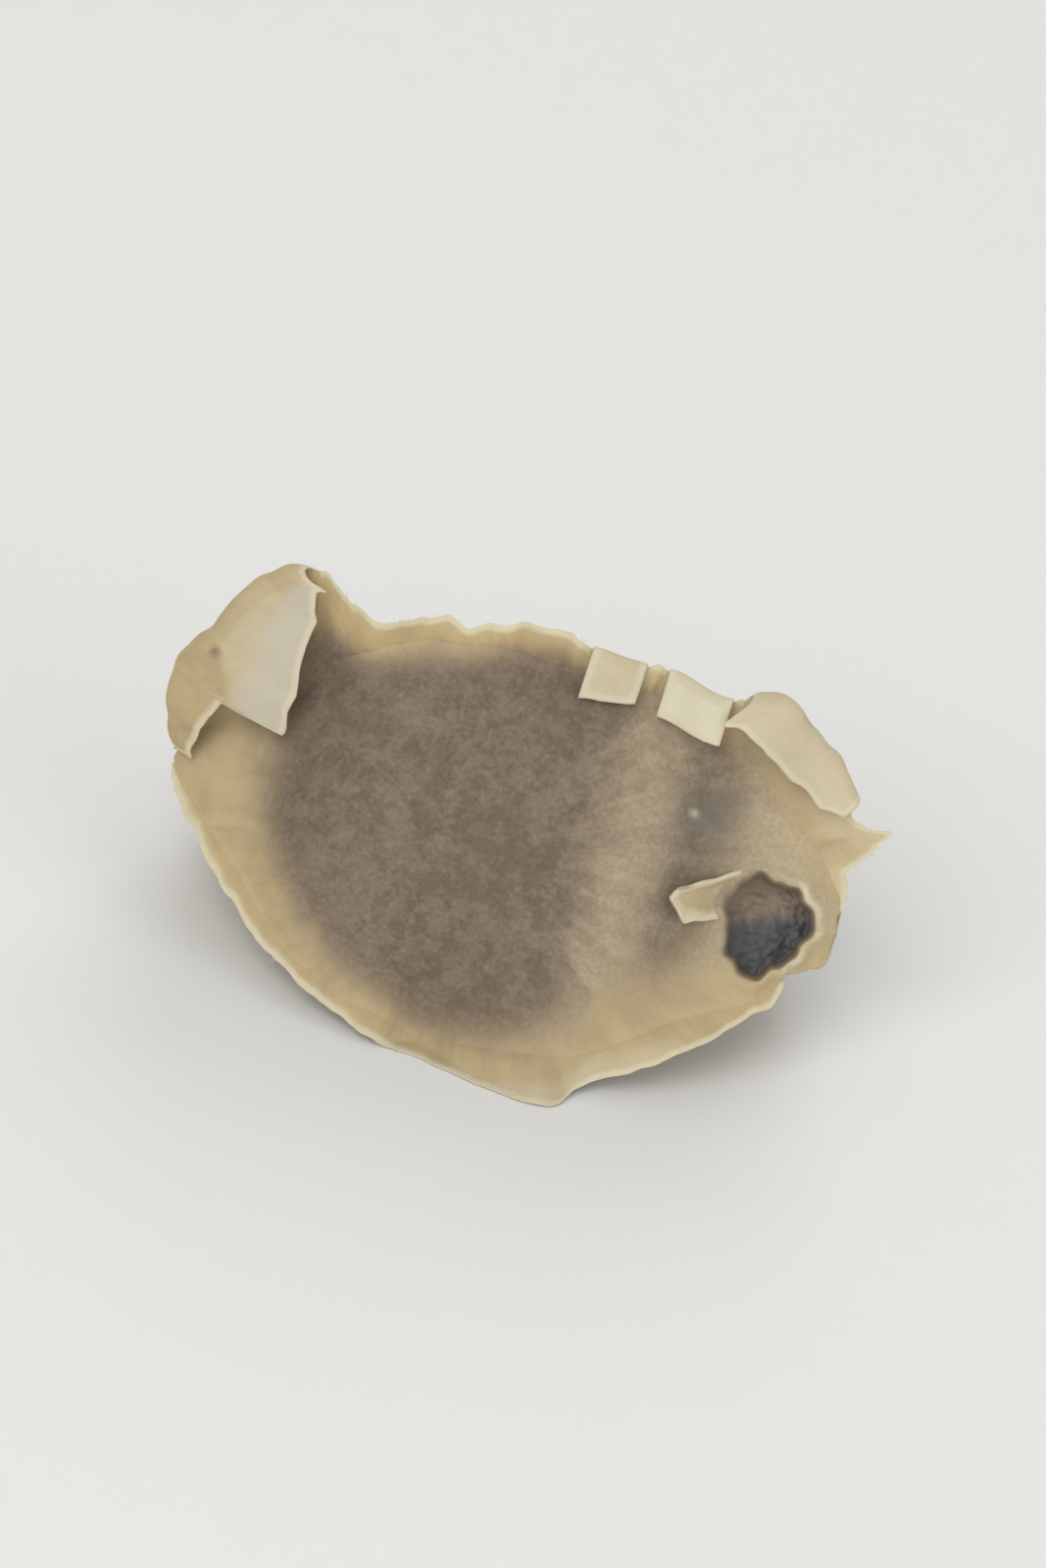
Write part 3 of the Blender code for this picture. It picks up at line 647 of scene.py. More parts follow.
def place_points(mesh, points):
    """Moves a mesh's points to places given in millimetres."""
    mesh.vertices.foreach_set("co", np.ascontiguousarray(points * MILLIMETRE, np.float32).ravel())
    mesh.update()


def read_points(mesh):
    """The points of a mesh as an array."""
    points = np.zeros(len(mesh.vertices) * 3, np.float32)
    mesh.vertices.foreach_get("co", points)
    return points.reshape(-1, 3).astype(float)


def add_object(name, data):
    """Puts an object into the scene."""
    made = bpy.data.objects.new(name, data)
    bpy.context.scene.collection.objects.link(made)
    return made


def dress(made, material):
    """Gives a finished piece its material and hands it to the frame."""
    made.data.materials.clear()
    made.data.materials.append(material)
    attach(made, SEED_BODY)


def thicken(made, thickness, thin_edges=None):
    """Turns a sheet into a closed shell, thinner where the weights of its points say so."""
    solid = made.modifiers.new("thickness", "SOLIDIFY")
    solid.thickness = thickness
    solid.offset = 0.0
    solid.use_even_offset = False
    if thin_edges is not None:
        group = made.vertex_groups.new(name="thin")
        for index, weight in enumerate(thin_edges.tolist()):
            group.add([index], weight, "REPLACE")
        solid.vertex_group = group.name
    shaped = bpy.data.meshes.new_from_object(made.evaluated_get(bpy.context.evaluated_depsgraph_get()))
    made.modifiers.clear()
    made.data = shaped
    made.vertex_groups.clear()
    shaped.shade_smooth()


def face_directions():
    """Directions straight out of the front face and up along it."""
    turn = math.radians(FRONT_FACE)
    return np.array([0.0, math.cos(turn), math.sin(turn)]), np.array([0.0, math.sin(turn), -math.cos(turn)])


def hollow_edge(turn):
    """How far the hollow's ragged outline lies out of its plain oval, in directions round it."""
    return 1.0 + ripple(HOLLOW_RIPPLES, turn, 1)


def calm_at(wing, place):
    """Share of a wing's crumples that it has at places along the axis."""
    places, _, walked = outline_of(wing)
    return np.interp(place, places, crumple_share(wing["flaps"], walked))


def wing_crumple(wing, place, distance, way, calm):
    """Sideways crumples of a wing, which start where it leaves the body of the hull."""
    share = swell(place)
    corner = share * section_radius(FRONT_RIDGE, corner_size(0.0, share, edge_distance(wing, place)))
    loose = smooth(0.0, CRUMPLE_START, distance - corner - RIDGE_REACH) * calm
    shift = np.full(place.shape, CRUMPLE_SHIFT * wing["seed"])
    sample = np.stack([place, distance + CRUMPLE_RUN * way, shift], axis=-1)
    total = sum(
        height * bumps((sample / np.array([along, outward, 1.0])).reshape(-1, 3), CRUMPLE_OCTAVES)
        for height, along, outward in CRUMPLES
    )
    return loose * total.reshape(place.shape)


def hull_surface(angle, place):
    """Points of the hull in directions at places, and the distances from the axis that they come from."""
    swept, base, outline = hull_section(angle, place)
    share = swell(place)
    which, off = nearest_ridge(angle)
    core = np.stack([place, base * np.cos(np.radians(angle)), base * np.sin(np.radians(angle))], axis=-1)
    dent = DENT_DEPTH * share * np.sin(DENT_ALONG * place + DENT_ROUND * np.radians(angle))
    relief = sum(height * bumps(core / size) for height, size in HULL_RELIEF) * smooth(*CALM_TIP, share)
    radius = swept + (relief - dent) * smooth(*CALM_RIDGE, np.abs(off))
    slopes = ridge_slopes(place)
    direction = np.radians(angle + ridge_turn(angle, slopes))
    aside = wing_wave(place, radius, of_wings("seed")[which])
    for number, wing in enumerate(WINGS.values()):
        near = (which == number) & (np.abs(off) < CRUMPLE_REACH * RIDGE_SWAY)
        aside[near] += wing_crumple(wing, place[near], radius[near], 0.0, calm_at(wing, place[near]))
    aside = aside * np.exp(-((off / RIDGE_SWAY) ** 2))
    slope = np.radians(picked(slopes, which))
    points = np.stack([
        place + AXIS_ALONG,
        radius * np.cos(direction) - aside * np.sin(slope) + AXIS_ACROSS,
        radius * np.sin(direction) + aside * np.cos(slope) + AXIS_HEIGHT,
    ], axis=-1)
    return points, radius, base, outline


def hull_places(along):
    """Places of the hull's rings, from -1 to 1 along the ball that it is pressed from."""
    along = END_CROWDING * np.arcsin(np.clip(along, -1.0, 1.0)) / (math.pi / 2) + (1.0 - END_CROWDING) * along
    left, right = HULL_SWELL[0][0], HULL_SWELL[-1][0]

    def crowded(place):
        pull = HOLLOW_CROWDING * HOLLOW_CROWDING_WIDTH
        return place - pull * np.tanh((place - HOLLOW_PLACE) / HOLLOW_CROWDING_WIDTH)

    place = crowded((left + right) / 2 + along * (right - left) / 2)
    return left + (place - crowded(left)) * (right - left) / (crowded(right) - crowded(left))


def hull_mesh():
    """The hull: a ball pressed into a rounded triangle that sweeps up into three thin ridges."""
    ball = bmesh.new()
    bmesh.ops.create_uvsphere(ball, u_segments=HULL_SIDES, v_segments=HULL_RINGS, radius=1.0)
    ball.verts.index_update()
    # Blender lists the ball's faces in another order each run, so they are sorted.
    faces = sorted([vertex.index for vertex in face.verts] for face in ball.faces)
    mesh = bpy.data.meshes.new("seed_hull")
    mesh.from_pydata([vertex.co for vertex in ball.verts], [], faces)
    ball.free()
    across, up, along = read_points(mesh).T
    place = hull_places(along)
    even = np.arctan2(up, across)
    angle = np.degrees(even - SIDE_CROWDING * np.sin(len(RIDGES) * even)) + UPPER_RIDGE
    points, radius, base, outline = hull_surface(angle, place)

    which, off = nearest_ridge(angle)
    height = radius * np.sin(np.radians(HALF_FACE - np.abs(off)))
    high = np.where(which == 0, height, -height)
    on_front = ((which == 0) & (off > 0)) | ((which == 1) & (off < 0))
    beside, above = (place - HOLLOW_PLACE) / HOLLOW_SIZE[0], (high - HOLLOW_HEIGHT) / HOLLOW_SIZE[1]
    turn = np.arctan2(above, beside)
    reach = np.where(on_front, np.hypot(beside, above) / hollow_edge(turn), FAR_AWAY)
    inside = 1.0 - smooth(*HOLLOW_WALL, reach)
    rough, rough_size = HOLLOW_ROUGHNESS
    depth = inside * (HOLLOW_DEPTH + rough * bumps(points / rough_size))
    lip_reach, lip_width, lip_height = HOLLOW_LIP
    lip = lip_height * np.exp(-((reach - lip_reach) / lip_width) ** 2)
    outward, _ = face_directions()
    place_points(mesh, settle(points + outward * (lip - depth)[:, None]))

    rim = np.maximum(outline - np.maximum(radius, base) * np.cos(np.radians(off)), 0.0)
    paper = picked([value_at(wing["paper"], place) * smooth(value_at(wing["paper_width"], place), 0.0, rim)
                    for wing in WINGS.values()], which)
    shown_reach, shown_width = HOLLOW_SHOWN_LIP
    shown_lip = np.exp(-((reach - shown_reach) / shown_width) ** 2) * smooth(*HOLLOW_LIP_SIDE, np.cos(turn))
    write_marks(
        mesh, brown=brownness(WINGS, which, place, rim), rosy=paleness(place), paper=paper,
        stain=spot_at(STAIN, place, high) * on_front, fleck=spot_at(STAIN_FLECK, place, high) * on_front,
        streak=streak_marks(place, of_wings("side")[which] * height), rim=rim, lip=shown_lip, hollow=inside,
        # This mark is painted shade: it darkens the hollow towards its lower right.
        sunk=smooth(*HOLLOW_DARK, HOLLOW_DARK_LEAN * beside - above),
    )
    mesh.shade_smooth()
    return mesh


def flap_numbers(flaps, walked):
    """The number of the flap that holds each distance along the edge, or -1."""
    found = np.full(len(walked), -1)
    for number, flap in enumerate(flaps):
        found[(walked >= flap["start"]) & (walked <= flap["end"])] = number
    return found


def beyond_flap(flap, walked):
    """How far distances along the edge lie outside a flap."""
    return np.maximum(np.maximum(flap["start"] - walked, walked - flap["end"]), 0.0)


def across_flap(flap, walked):
    """Share of a flap's width at distances along the edge."""
    return (walked - flap["start"]) / (flap["end"] - flap["start"])


def flap_value(flap, table, walked):
    """Value of one of a flap's tables at distances along the edge."""
    return np.interp(across_flap(flap, walked), *zip(*flap[table]))


def flap_hang(flap, walked):
    """Length of a flap below its fold, and the radius of its bend, at distances along the edge."""
    hang = flap_value(flap, "hang", walked)
    return hang, np.minimum(flap["radius"], BEND_SHARE * hang)


def fold_inset(flaps, walked):
    """How far a sheet stops short of its outline, so that the bend of a flap nearby ends on the outline."""
    inset = np.zeros(len(walked))
    for flap in flaps:
        nearness = np.maximum(1.0 - beyond_flap(flap, walked) / FOLD_FADE, 0.0)
        inset = np.maximum(inset, flap_hang(flap, walked)[1] * nearness)
    return inset


def crumple_share(flaps, walked):
    """Share of the crumples and frays that each column has, less on flaps that are nearly flat."""
    share = np.ones(len(walked))
    for flap in flaps:
        nearness = smooth(CRUMPLE_FADE, 0.0, beyond_flap(flap, walked))
        share = np.minimum(share, 1.0 - (1.0 - flap["crumple"]) * nearness)
    return share


def root_places(points):
    """Places along the axis where the columns of a wing start, below their points on its edge."""
    even = np.linspace(ROOT_ENDS[0], ROOT_ENDS[1], len(points))
    below = np.maximum.accumulate(np.clip(points[:, 0], ROOT_ENDS[0], ROOT_ENDS[1]))
    return (1.0 - ROOT_LEAN) * below + ROOT_LEAN * even


def flap_profile(flap, walked):
    """Steps outward and sideways along each column of a flap, its way from the fold and its full length."""
    across = across_flap(flap, walked)[:, None]
    fold = np.radians(flap["fold"][0] + (flap["fold"][1] - flap["fold"][0]) * across)
    hang, radius = flap_hang(flap, walked)
    flat = (hang + flap["ragged"] * torn(walked, TORN_FLAP_SEED) - radius)[:, None]
    bend = radius[:, None] * fold
    rows = np.arange(FLAP_ROWS + 1)[None]
    free = flat * np.maximum(rows - BEND_ROWS, 0) / (FLAP_ROWS - BEND_ROWS)
    way = bend * np.minimum(rows / BEND_ROWS, 1.0) + free
    heading = fold * np.minimum(way / bend, 1.0) + math.radians(flap["curl"]) * free / flat
    middle = (heading[:, 1:] + heading[:, :-1]) / 2
    step = np.diff(way, axis=1)
    out = np.cumsum(step * np.cos(middle), axis=1)
    sideways = np.cumsum(step * np.sin(middle), axis=1)
    return out, sideways, free[:, 1:], flat


def flat_sheet(wing, points, walked):
    """A wing up to its folds: places, distances and gaps to its torn edge over its columns and rows."""
    flaps = wing["flaps"]
    roots = root_places(points)
    lift = ROOT_LIFT[0] * np.exp(-((roots - HOLLOW_PLACE) / ROOT_LIFT[1]) ** 2)
    root_points = np.column_stack([roots, ROOT_SHARE * swell(roots) - ROOT_DEPTH + lift])
    whole = points - root_points
    reach = np.linalg.norm(whole, axis=1)
    flap_ends = [np.abs(walked - flap[end]) for flap in flaps for end in ("start", "end")]
    nearest_end = np.min(flap_ends + [np.ones(len(walked))], axis=0)
    torn_here = smooth(0.0, TEAR_FADE, nearest_end) * (flap_numbers(flaps, walked) < 0)
    ragged = (wing["fray"] * crumple_share(flaps, walked) * ripple(FRAY_RIPPLES, walked, wing["seed"])
              + wing["tear"] * torn_here * torn(walked, wing["seed"]))
    stretch = 1.0 + (ragged - fold_inset(flaps, walked)) / reach
    share = 1.0 - (1.0 - np.arange(WING_ROWS + 1) / WING_ROWS) ** ROW_CROWDING
    path = root_points[:, None] + share[None, :, None] * (stretch[:, None] * whole)[:, None]
    gap = (1.0 - share[None]) * (stretch * reach)[:, None]
    flap_rows = ((0, 0), (0, FLAP_ROWS))
    return [np.pad(values, flap_rows, mode="edge") for values in (path[..., 0], path[..., 1], gap)]


def fold_flap(flap, sheet, held, points, walked):
    """Folds a flap over in the columns that it holds, and marks its looks."""
    rows = slice(WING_ROWS + 1, None)
    out, sideways, free, flat = flap_profile(flap, walked)
    chord = points[-1] - points[0]
    away = np.array([-chord[1], chord[0]]) / np.linalg.norm(chord)
    sheet["place"][held, rows] += away[0] * out + away[1] * flap["drift"] * free
    sheet["distance"][held, rows] += away[1] * out - away[0] * flap["drift"] * free
    sheet["aside"][held, rows] += sideways
    sheet["way"][held, rows] = free
    side_gap = np.minimum(walked - walked[0], walked[-1] - walked)[:, None]
    sheet["rim"][held, :WING_ROWS + 1] += flat
    sheet["rim"][held, rows] = np.minimum(flat - free, side_gap)

    tables = ("tan", "white", "white_from")
    tan, whiteness, start = (flap_value(flap, table, walked)[:, None] for table in tables)
    bent = smooth(0.0, 1.0, np.arange(1, FLAP_ROWS + 1) / BEND_ROWS)[None]
    creamy = smooth(tan - TAN_SOFTNESS, tan + TAN_SOFTNESS, free) if flap["tan"] != NOWHERE else 1.0
    turned = smooth(start - WHITE_SOFTNESS, start + WHITE_SOFTNESS, free / flat)
    spot = spot_at(WING_SPOT, sheet["place"][held, rows], sheet["distance"][held, rows]) * bent
    paper = flap["paper"] * bent * creamy + sheet["paper"][held, rows] * (1.0 - bent)
    sheet["paper"][held, rows] = paper * (1.0 - spot)
    sheet["white"][held, rows] = whiteness * turned * bent
    sheet["brown"][held, rows] = FLAP_BROWN * (1.0 - creamy) * bent + SPOT_BROWN * spot
    sheet["grey"][held, rows] = flap["grey"]


def wing_sheet(name):
    """Middle surface of a wing over its columns and rows: points, marks and the flap of each column."""
    wing = WINGS[name]
    _, length = curve_through(wing["edge"], 2)
    columns = round(length / COLUMN_WIDTH)
    points, _ = curve_through(wing["edge"], columns + 1)
    walked = np.linspace(0.0, length, columns + 1)
    number = flap_numbers(wing["flaps"], walked)
    base_place, base_distance, edge_gap = flat_sheet(wing, points, walked)
    paper_width = value_at(wing["paper_width"], base_place)
    paper = value_at(wing["paper"], base_place) * smooth(paper_width, 0.0, edge_gap)
    sheet = dict(place=base_place.copy(), distance=base_distance.copy(), rim=edge_gap.copy(), paper=paper)
    sheet.update({key: np.zeros_like(base_place) for key in ("aside", "way", "brown", "white", "grey")})
    for k, flap in enumerate(wing["flaps"]):
        held = np.where(number == k)[0]
        fold_flap(flap, sheet, held, points[held], walked[held])

    calm = crumple_share(wing["flaps"], walked)[:, None]
    aside = (sheet["aside"] + wing_wave(base_place, base_distance, wing["seed"])
             + wing_crumple(wing, base_place, base_distance, sheet["way"], calm))
    slope = value_at(wing["slope"], sheet["place"], SLOPE_SPREAD)
    row = settle(row_points(sheet["place"], sheet["distance"], aside, slope))
    streaks = streak_marks(base_place, wing["side"] * base_distance * math.sin(math.radians(HALF_FACE)))
    streaks[..., 2] += sheet["way"]
    gap = np.maximum(edge_distance(wing, base_place) - base_distance, edge_gap)
    flat_rows = slice(0, WING_ROWS + 1)
    which = np.zeros(base_place.shape, int)
    sheet["brown"][:, flat_rows] = brownness([name], which, base_place, gap)[:, flat_rows]
    looks = dict(brown=sheet["brown"], rosy=paleness(base_place), paper=sheet["paper"], streak=streaks,
                 rim=sheet["rim"], white=sheet["white"], grey=sheet["grey"])
    return dict(points=row, looks=looks, number=number, columns=columns)


def wing_object(name, thickness):
    """One wing: a crumpled sheet from inside the hull to its torn edge, with its flaps folded over."""
    sheet = wing_sheet(name)
    rows = WING_ROWS + FLAP_ROWS
    columns = sheet["columns"]
    grid = bmesh.new()
    bmesh.ops.create_grid(grid, x_segments=columns, y_segments=rows, size=1.0)
    column_layer, row_layer = (grid.verts.layers.int.new(layer) for layer in ("column", "row"))
    for vertex in grid.verts:
        vertex[column_layer] = round((vertex.co.x + 1.0) / 2.0 * columns)
        vertex[row_layer] = round((vertex.co.y + 1.0) / 2.0 * rows)
    number = sheet["number"]
    spare = []
    for face in grid.faces:
        held = {number[vertex[column_layer]] for vertex in face.verts}
        beyond = min(vertex[row_layer] for vertex in face.verts) >= WING_ROWS
        if beyond and (len(held) > 1 or -1 in held):
            spare.append(face)
    bmesh.ops.delete(grid, geom=spare, context="FACES")
    column = np.array([vertex[column_layer] for vertex in grid.verts])
    row = np.array([vertex[row_layer] for vertex in grid.verts])
    mesh = mesh_from(grid, name)
    place_points(mesh, sheet["points"][column, row])
    write_marks(mesh, **{look: values[column, row] for look, values in sheet["looks"].items()})
    made = add_object(name, mesh)
    rim = sheet["looks"]["rim"][column, row]
    thicken(made, thickness, THIN_EDGE + (1.0 - THIN_EDGE) * smooth(0.0, THIN_FADE, rim))
    return made


def front_points(place, height):
    """Points of the hull's front face at places along it and heights over its middle, in the row frame."""
    off_middle = np.zeros(len(place))
    for _ in range(FACE_SEARCHES):
        size = hull_section(FRONT_FACE - off_middle, place)[0]
        off_middle = np.degrees(np.arcsin(height / size))
    return hull_surface(FRONT_FACE - off_middle, place)[0]


def tongue_object(thickness):
    """Thin triangle of torn coat, peeled back from the hollow and cupped."""
    sheet = bmesh.new()
    bmesh.ops.create_grid(sheet, x_segments=TONGUE_COLUMNS, y_segments=TONGUE_ROWS, size=1.0)
    mesh = mesh_from(sheet, "hollow_tongue")
    flat = read_points(mesh)
    across, peeled = (flat[:, 0] + 1) / 2, (flat[:, 1] + 1) / 2
    turn = np.radians(TONGUE_TURNS[0] + (TONGUE_TURNS[1] - TONGUE_TURNS[0]) * across)
    round_it = TONGUE_HINGE * hollow_edge(turn)
    hinge = np.stack([HOLLOW_PLACE + HOLLOW_SIZE[0] * round_it * np.cos(turn),
                      HOLLOW_HEIGHT + HOLLOW_SIZE[1] * round_it * np.sin(turn)], axis=-1)
    middle = hinge[np.abs(across - 0.5) < 0.5 / TONGUE_COLUMNS].mean(axis=0)
    tip = np.array(TONGUE_TIP) + TONGUE_TIP_SHARE * (hinge - middle)
    tear = TONGUE_RAGGED * torn(peeled * TONGUE_TEAR_RUN, TORN_TONGUE_SEED) * (2 * across - 1)
    place, height = (hinge + (tip - hinge) * peeled[:, None] * (1.0 + TONGUE_RAGGED * tear)[:, None]).T
    belly = np.interp(peeled, (0.0, TONGUE_CORNER, 1.0), (0.0, TONGUE_BELLY, 0.0))
    height = height - tear * peeled - belly * across ** 2
    cup = TONGUE_CUP * (2 * across - 1) ** 2 * np.sin(math.pi * peeled)
    lift = TONGUE_LIFT * peeled ** TONGUE_EASE + cup - TONGUE_SUNK * (1.0 - peeled)
    outward, _ = face_directions()
    place_points(mesh, front_points(place, height) + outward * lift[:, None])
    side_gap = (1.0 - np.abs(2 * across - 1)) * np.interp(peeled, (0.0, 1.0), TONGUE_HALF_WIDTHS)
    rim = np.minimum(side_gap, (1.0 - peeled) * TONGUE_LENGTH)
    write_marks(
        mesh, brown=TONGUE_BROWN * smooth(1.0, 0.0, peeled), rosy=np.ones(len(place)),
        paper=TONGUE_PAPER * smooth(*TONGUE_CREAM, peeled), streak=streak_marks(place, height), rim=rim,
    )
    made = add_object("hollow_tongue", mesh)
    thicken(made, thickness)
    return made


def fibre_object(radius):
    """Fine loose fibres that stand out of the torn edges."""
    curve = bpy.data.curves.new("torn_fibres", "CURVE")
    curve.dimensions = "3D"
    curve.bevel_depth = radius
    curve.bevel_resolution = 1
    draw = np.random.default_rng(FIBRE_SEED)
    for name, wing in WINGS.items():
        sheet = wing_sheet(name)
        free = np.where(sheet["number"] < 0)[0][FIBRE_ENDS:-FIBRE_ENDS]
        for column in draw.choice(free, wing["fibres"], replace=False):
            start = sheet["points"][column, WING_ROWS - 1]
            inward = sheet["points"][column, WING_ROWS - FIBRE_ROOT]
            heading = (start - inward) / np.linalg.norm(start - inward) + draw.normal(0.0, FIBRE_SPREAD, 3)
            bend = draw.normal(0.0, FIBRE_BEND, 3) / FIBRE_STEPS
            step = draw.uniform(*FIBRE_STRIDES)
            spline = curve.splines.new("POLY")
            spline.points.add(FIBRE_STEPS - 1)
            point = start.copy()
            for k, knot in enumerate(spline.points):
                point[2] = max(point[2], GROUND_GAP)
                knot.co = (*(point * MILLIMETRE), 1.0)
                knot.radius = 1.0 - k / FIBRE_STEPS
                heading = heading + bend
                point = point + step * heading / np.linalg.norm(heading)
    return add_object("torn_fibres", curve)


def add_node(tree, kind, inputs=None, **settings):
    """A shader node with its settings, and its inputs linked or set."""
    made = tree.nodes.new(kind)
    for name, value in settings.items():
        setattr(made, name, value)
    for name, value in (inputs or {}).items():
        if isinstance(value, bpy.types.NodeSocket):
            tree.links.new(value, made.inputs[name])
        else:
            made.inputs[name].default_value = value
    return made


def times(tree, first, second):
    """Product of two numbers."""
    return add_node(tree, "ShaderNodeMath", {0: first, 1: second}, operation="MULTIPLY").outputs[0]


def plus(tree, first, *others):
    """Sum of numbers."""
    for other in others:
        first = add_node(tree, "ShaderNodeMath", {0: first, 1: other}, operation="ADD").outputs[0]
    return first


def swing(tree, value, size):
    """A noise turned into ups and downs of a size round 0."""
    inputs = {0: value, 1: size, 2: -size / 2}
    return add_node(tree, "ShaderNodeMath", inputs, operation="MULTIPLY_ADD").outputs[0]


def soft_range(tree, value, low, high, to_low=0.0, to_high=1.0):
    """Soft rise from to_low to to_high as a value goes from low to high."""
    inputs = {"Value": value, "From Min": low, "From Max": high, "To Min": to_low, "To Max": to_high}
    return add_node(tree, "ShaderNodeMapRange", inputs, interpolation_type="SMOOTHSTEP").outputs[0]


def blend(tree, share, first, second, mode="MIX"):
    """Mix of two colours, each a socket or three numbers."""
    first, second = (colour if isinstance(colour, bpy.types.NodeSocket) else (*colour, 1.0)
                     for colour in (first, second))
    inputs = {MIX_SHARE: share, MIX_FIRST: first, MIX_SECOND: second}
    return add_node(tree, "ShaderNodeMix", inputs, data_type="RGBA", blend_type=mode).outputs[MIX_RESULT]


def noise_at(tree, vector, scale, detail, roughness):
    """Noise texture value."""
    inputs = {"Vector": vector, "Scale": scale, "Detail": detail, "Roughness": roughness}
    return add_node(tree, "ShaderNodeTexNoise", inputs).outputs["Fac"]


def reading(tree, name, output="Fac"):
    """Value of one of the marks on a mesh."""
    return add_node(tree, "ShaderNodeAttribute", attribute_name=name).outputs[output]


def coat_noises(tree):
    """The noises that break up the looks of the coat, by name."""
    where = add_node(tree, "ShaderNodeTexCoord").outputs["Object"]
    inputs = {0: where, "Scale": 1.0 / MILLIMETRE}
    where = add_node(tree, "ShaderNodeVectorMath", inputs, operation="SCALE").outputs[0]
    along_streaks = reading(tree, "streak", "Vector")
    noises = {name: noise_at(tree, along_streaks, *kind) for name, kind in STREAK_NOISES.items()}
    noises.update({name: noise_at(tree, where, *kind) for name, kind in COAT_NOISES.items()})
    return noises


def share_of(tree, noises, name):
    """Share of a look: its noise or mark, broken up by other noises, and a soft rise."""
    look = LOOKS[name]
    value = noises[look["noise"]] if "noise" in look else reading(tree, look["mark"])
    swings = [swing(tree, noises[noise], size) for noise, size in look["swings"].items()]
    return soft_range(tree, plus(tree, value, *swings), *look["rise"])


def hull_colour(tree, noises, colours):
    """Brown felt with fine pale flecks, rosy where the coat is thin."""
    felt = blend(tree, share_of(tree, noises, "light"), colours.hull_dark, colours.hull_light)
    felt = blend(tree, share_of(tree, noises, "flecks"), felt, colours.fleck)
    felt = blend(tree, share_of(tree, noises, "rosy"), felt, colours.hull_pale)
    shade = plus(tree, share_of(tree, noises, "shade"), swing(tree, noises["grain"], GRAIN_SHADE))
    shades = add_node(tree, "ShaderNodeCombineXYZ", {0: shade, 1: shade, 2: shade}).outputs[0]
    return blend(tree, 1.0, felt, shades, "MULTIPLY")


def coat_colour(tree, noises, colours):
    """Golden slopes, and over them the brown hull, papery edges, white flaps, pale rims and the painted light
    and shade of the hollow.
    """
    coat = blend(tree, share_of(tree, noises, "tan"), colours.gold, colours.tan)
    cream = blend(tree, share_of(tree, noises, "dark cream"), colours.cream, colours.cream_dark)
    flake = blend(tree, reading(tree, "grey"), colours.flake, colours.flake_grey)
    # The hollow is painted light and shade: a lighter upper wall over a dark painted shade at its bottom.
    pit_light_and_shade = blend(tree, share_of(tree, noises, "sunk"), colours.hollow_lit_wall, colours.hollow)
    layers = (
        (share_of(tree, noises, "brown"), hull_colour(tree, noises, colours)),
        (share_of(tree, noises, "paper"), cream),
        (times(tree, reading(tree, "stain"), share_of(tree, noises, "patchy stain")), colours.stain),
        (times(tree, reading(tree, "fleck"), STAIN_FLECK_SHARE), colours.rim),
        (reading(tree, "white"), flake),
        (share_of(tree, noises, "rim"), colours.rim),
        (times(tree, reading(tree, "lip"), share_of(tree, noises, "patchy lip")), colours.rim),
        # Painted light and shade over the hollow.
        (reading(tree, "hollow"), pit_light_and_shade),
    )
    for share, colour in layers:
        coat = blend(tree, share, coat, colour)
    return coat


def new_material(name):
    """A material and its shader."""
    material = bpy.data.materials.new(name)
    material.use_nodes = True
    return material, material.node_tree.nodes["Principled BSDF"]


def coat_material(name, colours, papery):
    """Dry seed coat, with fibres that stand up where it isn't felted, and glowing a little where papery."""
    material, shader = new_material(name)
    tree = material.node_tree
    noises = coat_noises(tree)
    tree.links.new(coat_colour(tree, noises, colours), shader.inputs["Base Color"])

    thin = share_of(tree, noises, "thin")
    heights = [times(tree, noises[name], height) for name, height in COAT_BUMPS.items()]
    fibres = times(tree, times(tree, noises["fine_streak"], thin), FIBRE_BUMP)
    inputs = {"Height": plus(tree, *heights, fibres), "Distance": BUMP_HEIGHT * MILLIMETRE,
              "Strength": BUMP_STRENGTH}
    bump = add_node(tree, "ShaderNodeBump", inputs)
    tree.links.new(bump.outputs[0], shader.inputs["Normal"])
    tree.links.new(soft_range(tree, thin, 0.0, 1.0, *COAT_ROUGHNESS), shader.inputs["Roughness"])
    shader.inputs["Specular IOR Level"].default_value = COAT_SHINE
    if papery:
        shader.inputs["Subsurface Weight"].default_value = PAPER_GLOW
        shader.inputs["Subsurface Radius"].default_value = PAPER_GLOW_COLOUR
        shader.inputs["Subsurface Scale"].default_value = PAPER_GLOW_REACH * MILLIMETRE
    return material


def plain_material(name, colour, roughness):
    """One even colour."""
    material, shader = new_material(name)
    shader.inputs["Base Color"].default_value = (*colour, 1.0)
    shader.inputs["Roughness"].default_value = roughness
    return material


def colour_property(name, description, default):
    """A colour that the user can set."""
    return bpy.props.FloatVectorProperty(
        name=name, description=description, subtype="COLOR", size=3, min=0.0, max=1.0, default=default)


class SeedShape(bpy.types.PropertyGroup):
    """Sizes of the dressed seed."""

    wing_thickness: bpy.props.FloatProperty(
        name="Wing thickness", description="Thickness of the papery wings near the hull",
        unit="LENGTH", precision=5, min=0.00005, max=0.0006, default=0.00010)
    tongue_thickness: bpy.props.FloatProperty(
        name="Tongue thickness", description="Thickness of the coat peeled back from the hollow",
        unit="LENGTH", precision=5, min=0.00005, max=0.0006, default=0.00012)
    fibre_radius: bpy.props.FloatProperty(
        name="Fibre radius", description="Half the width of a loose fibre at its root",
        unit="LENGTH", precision=6, min=0.000003, max=0.00005, default=0.000012)


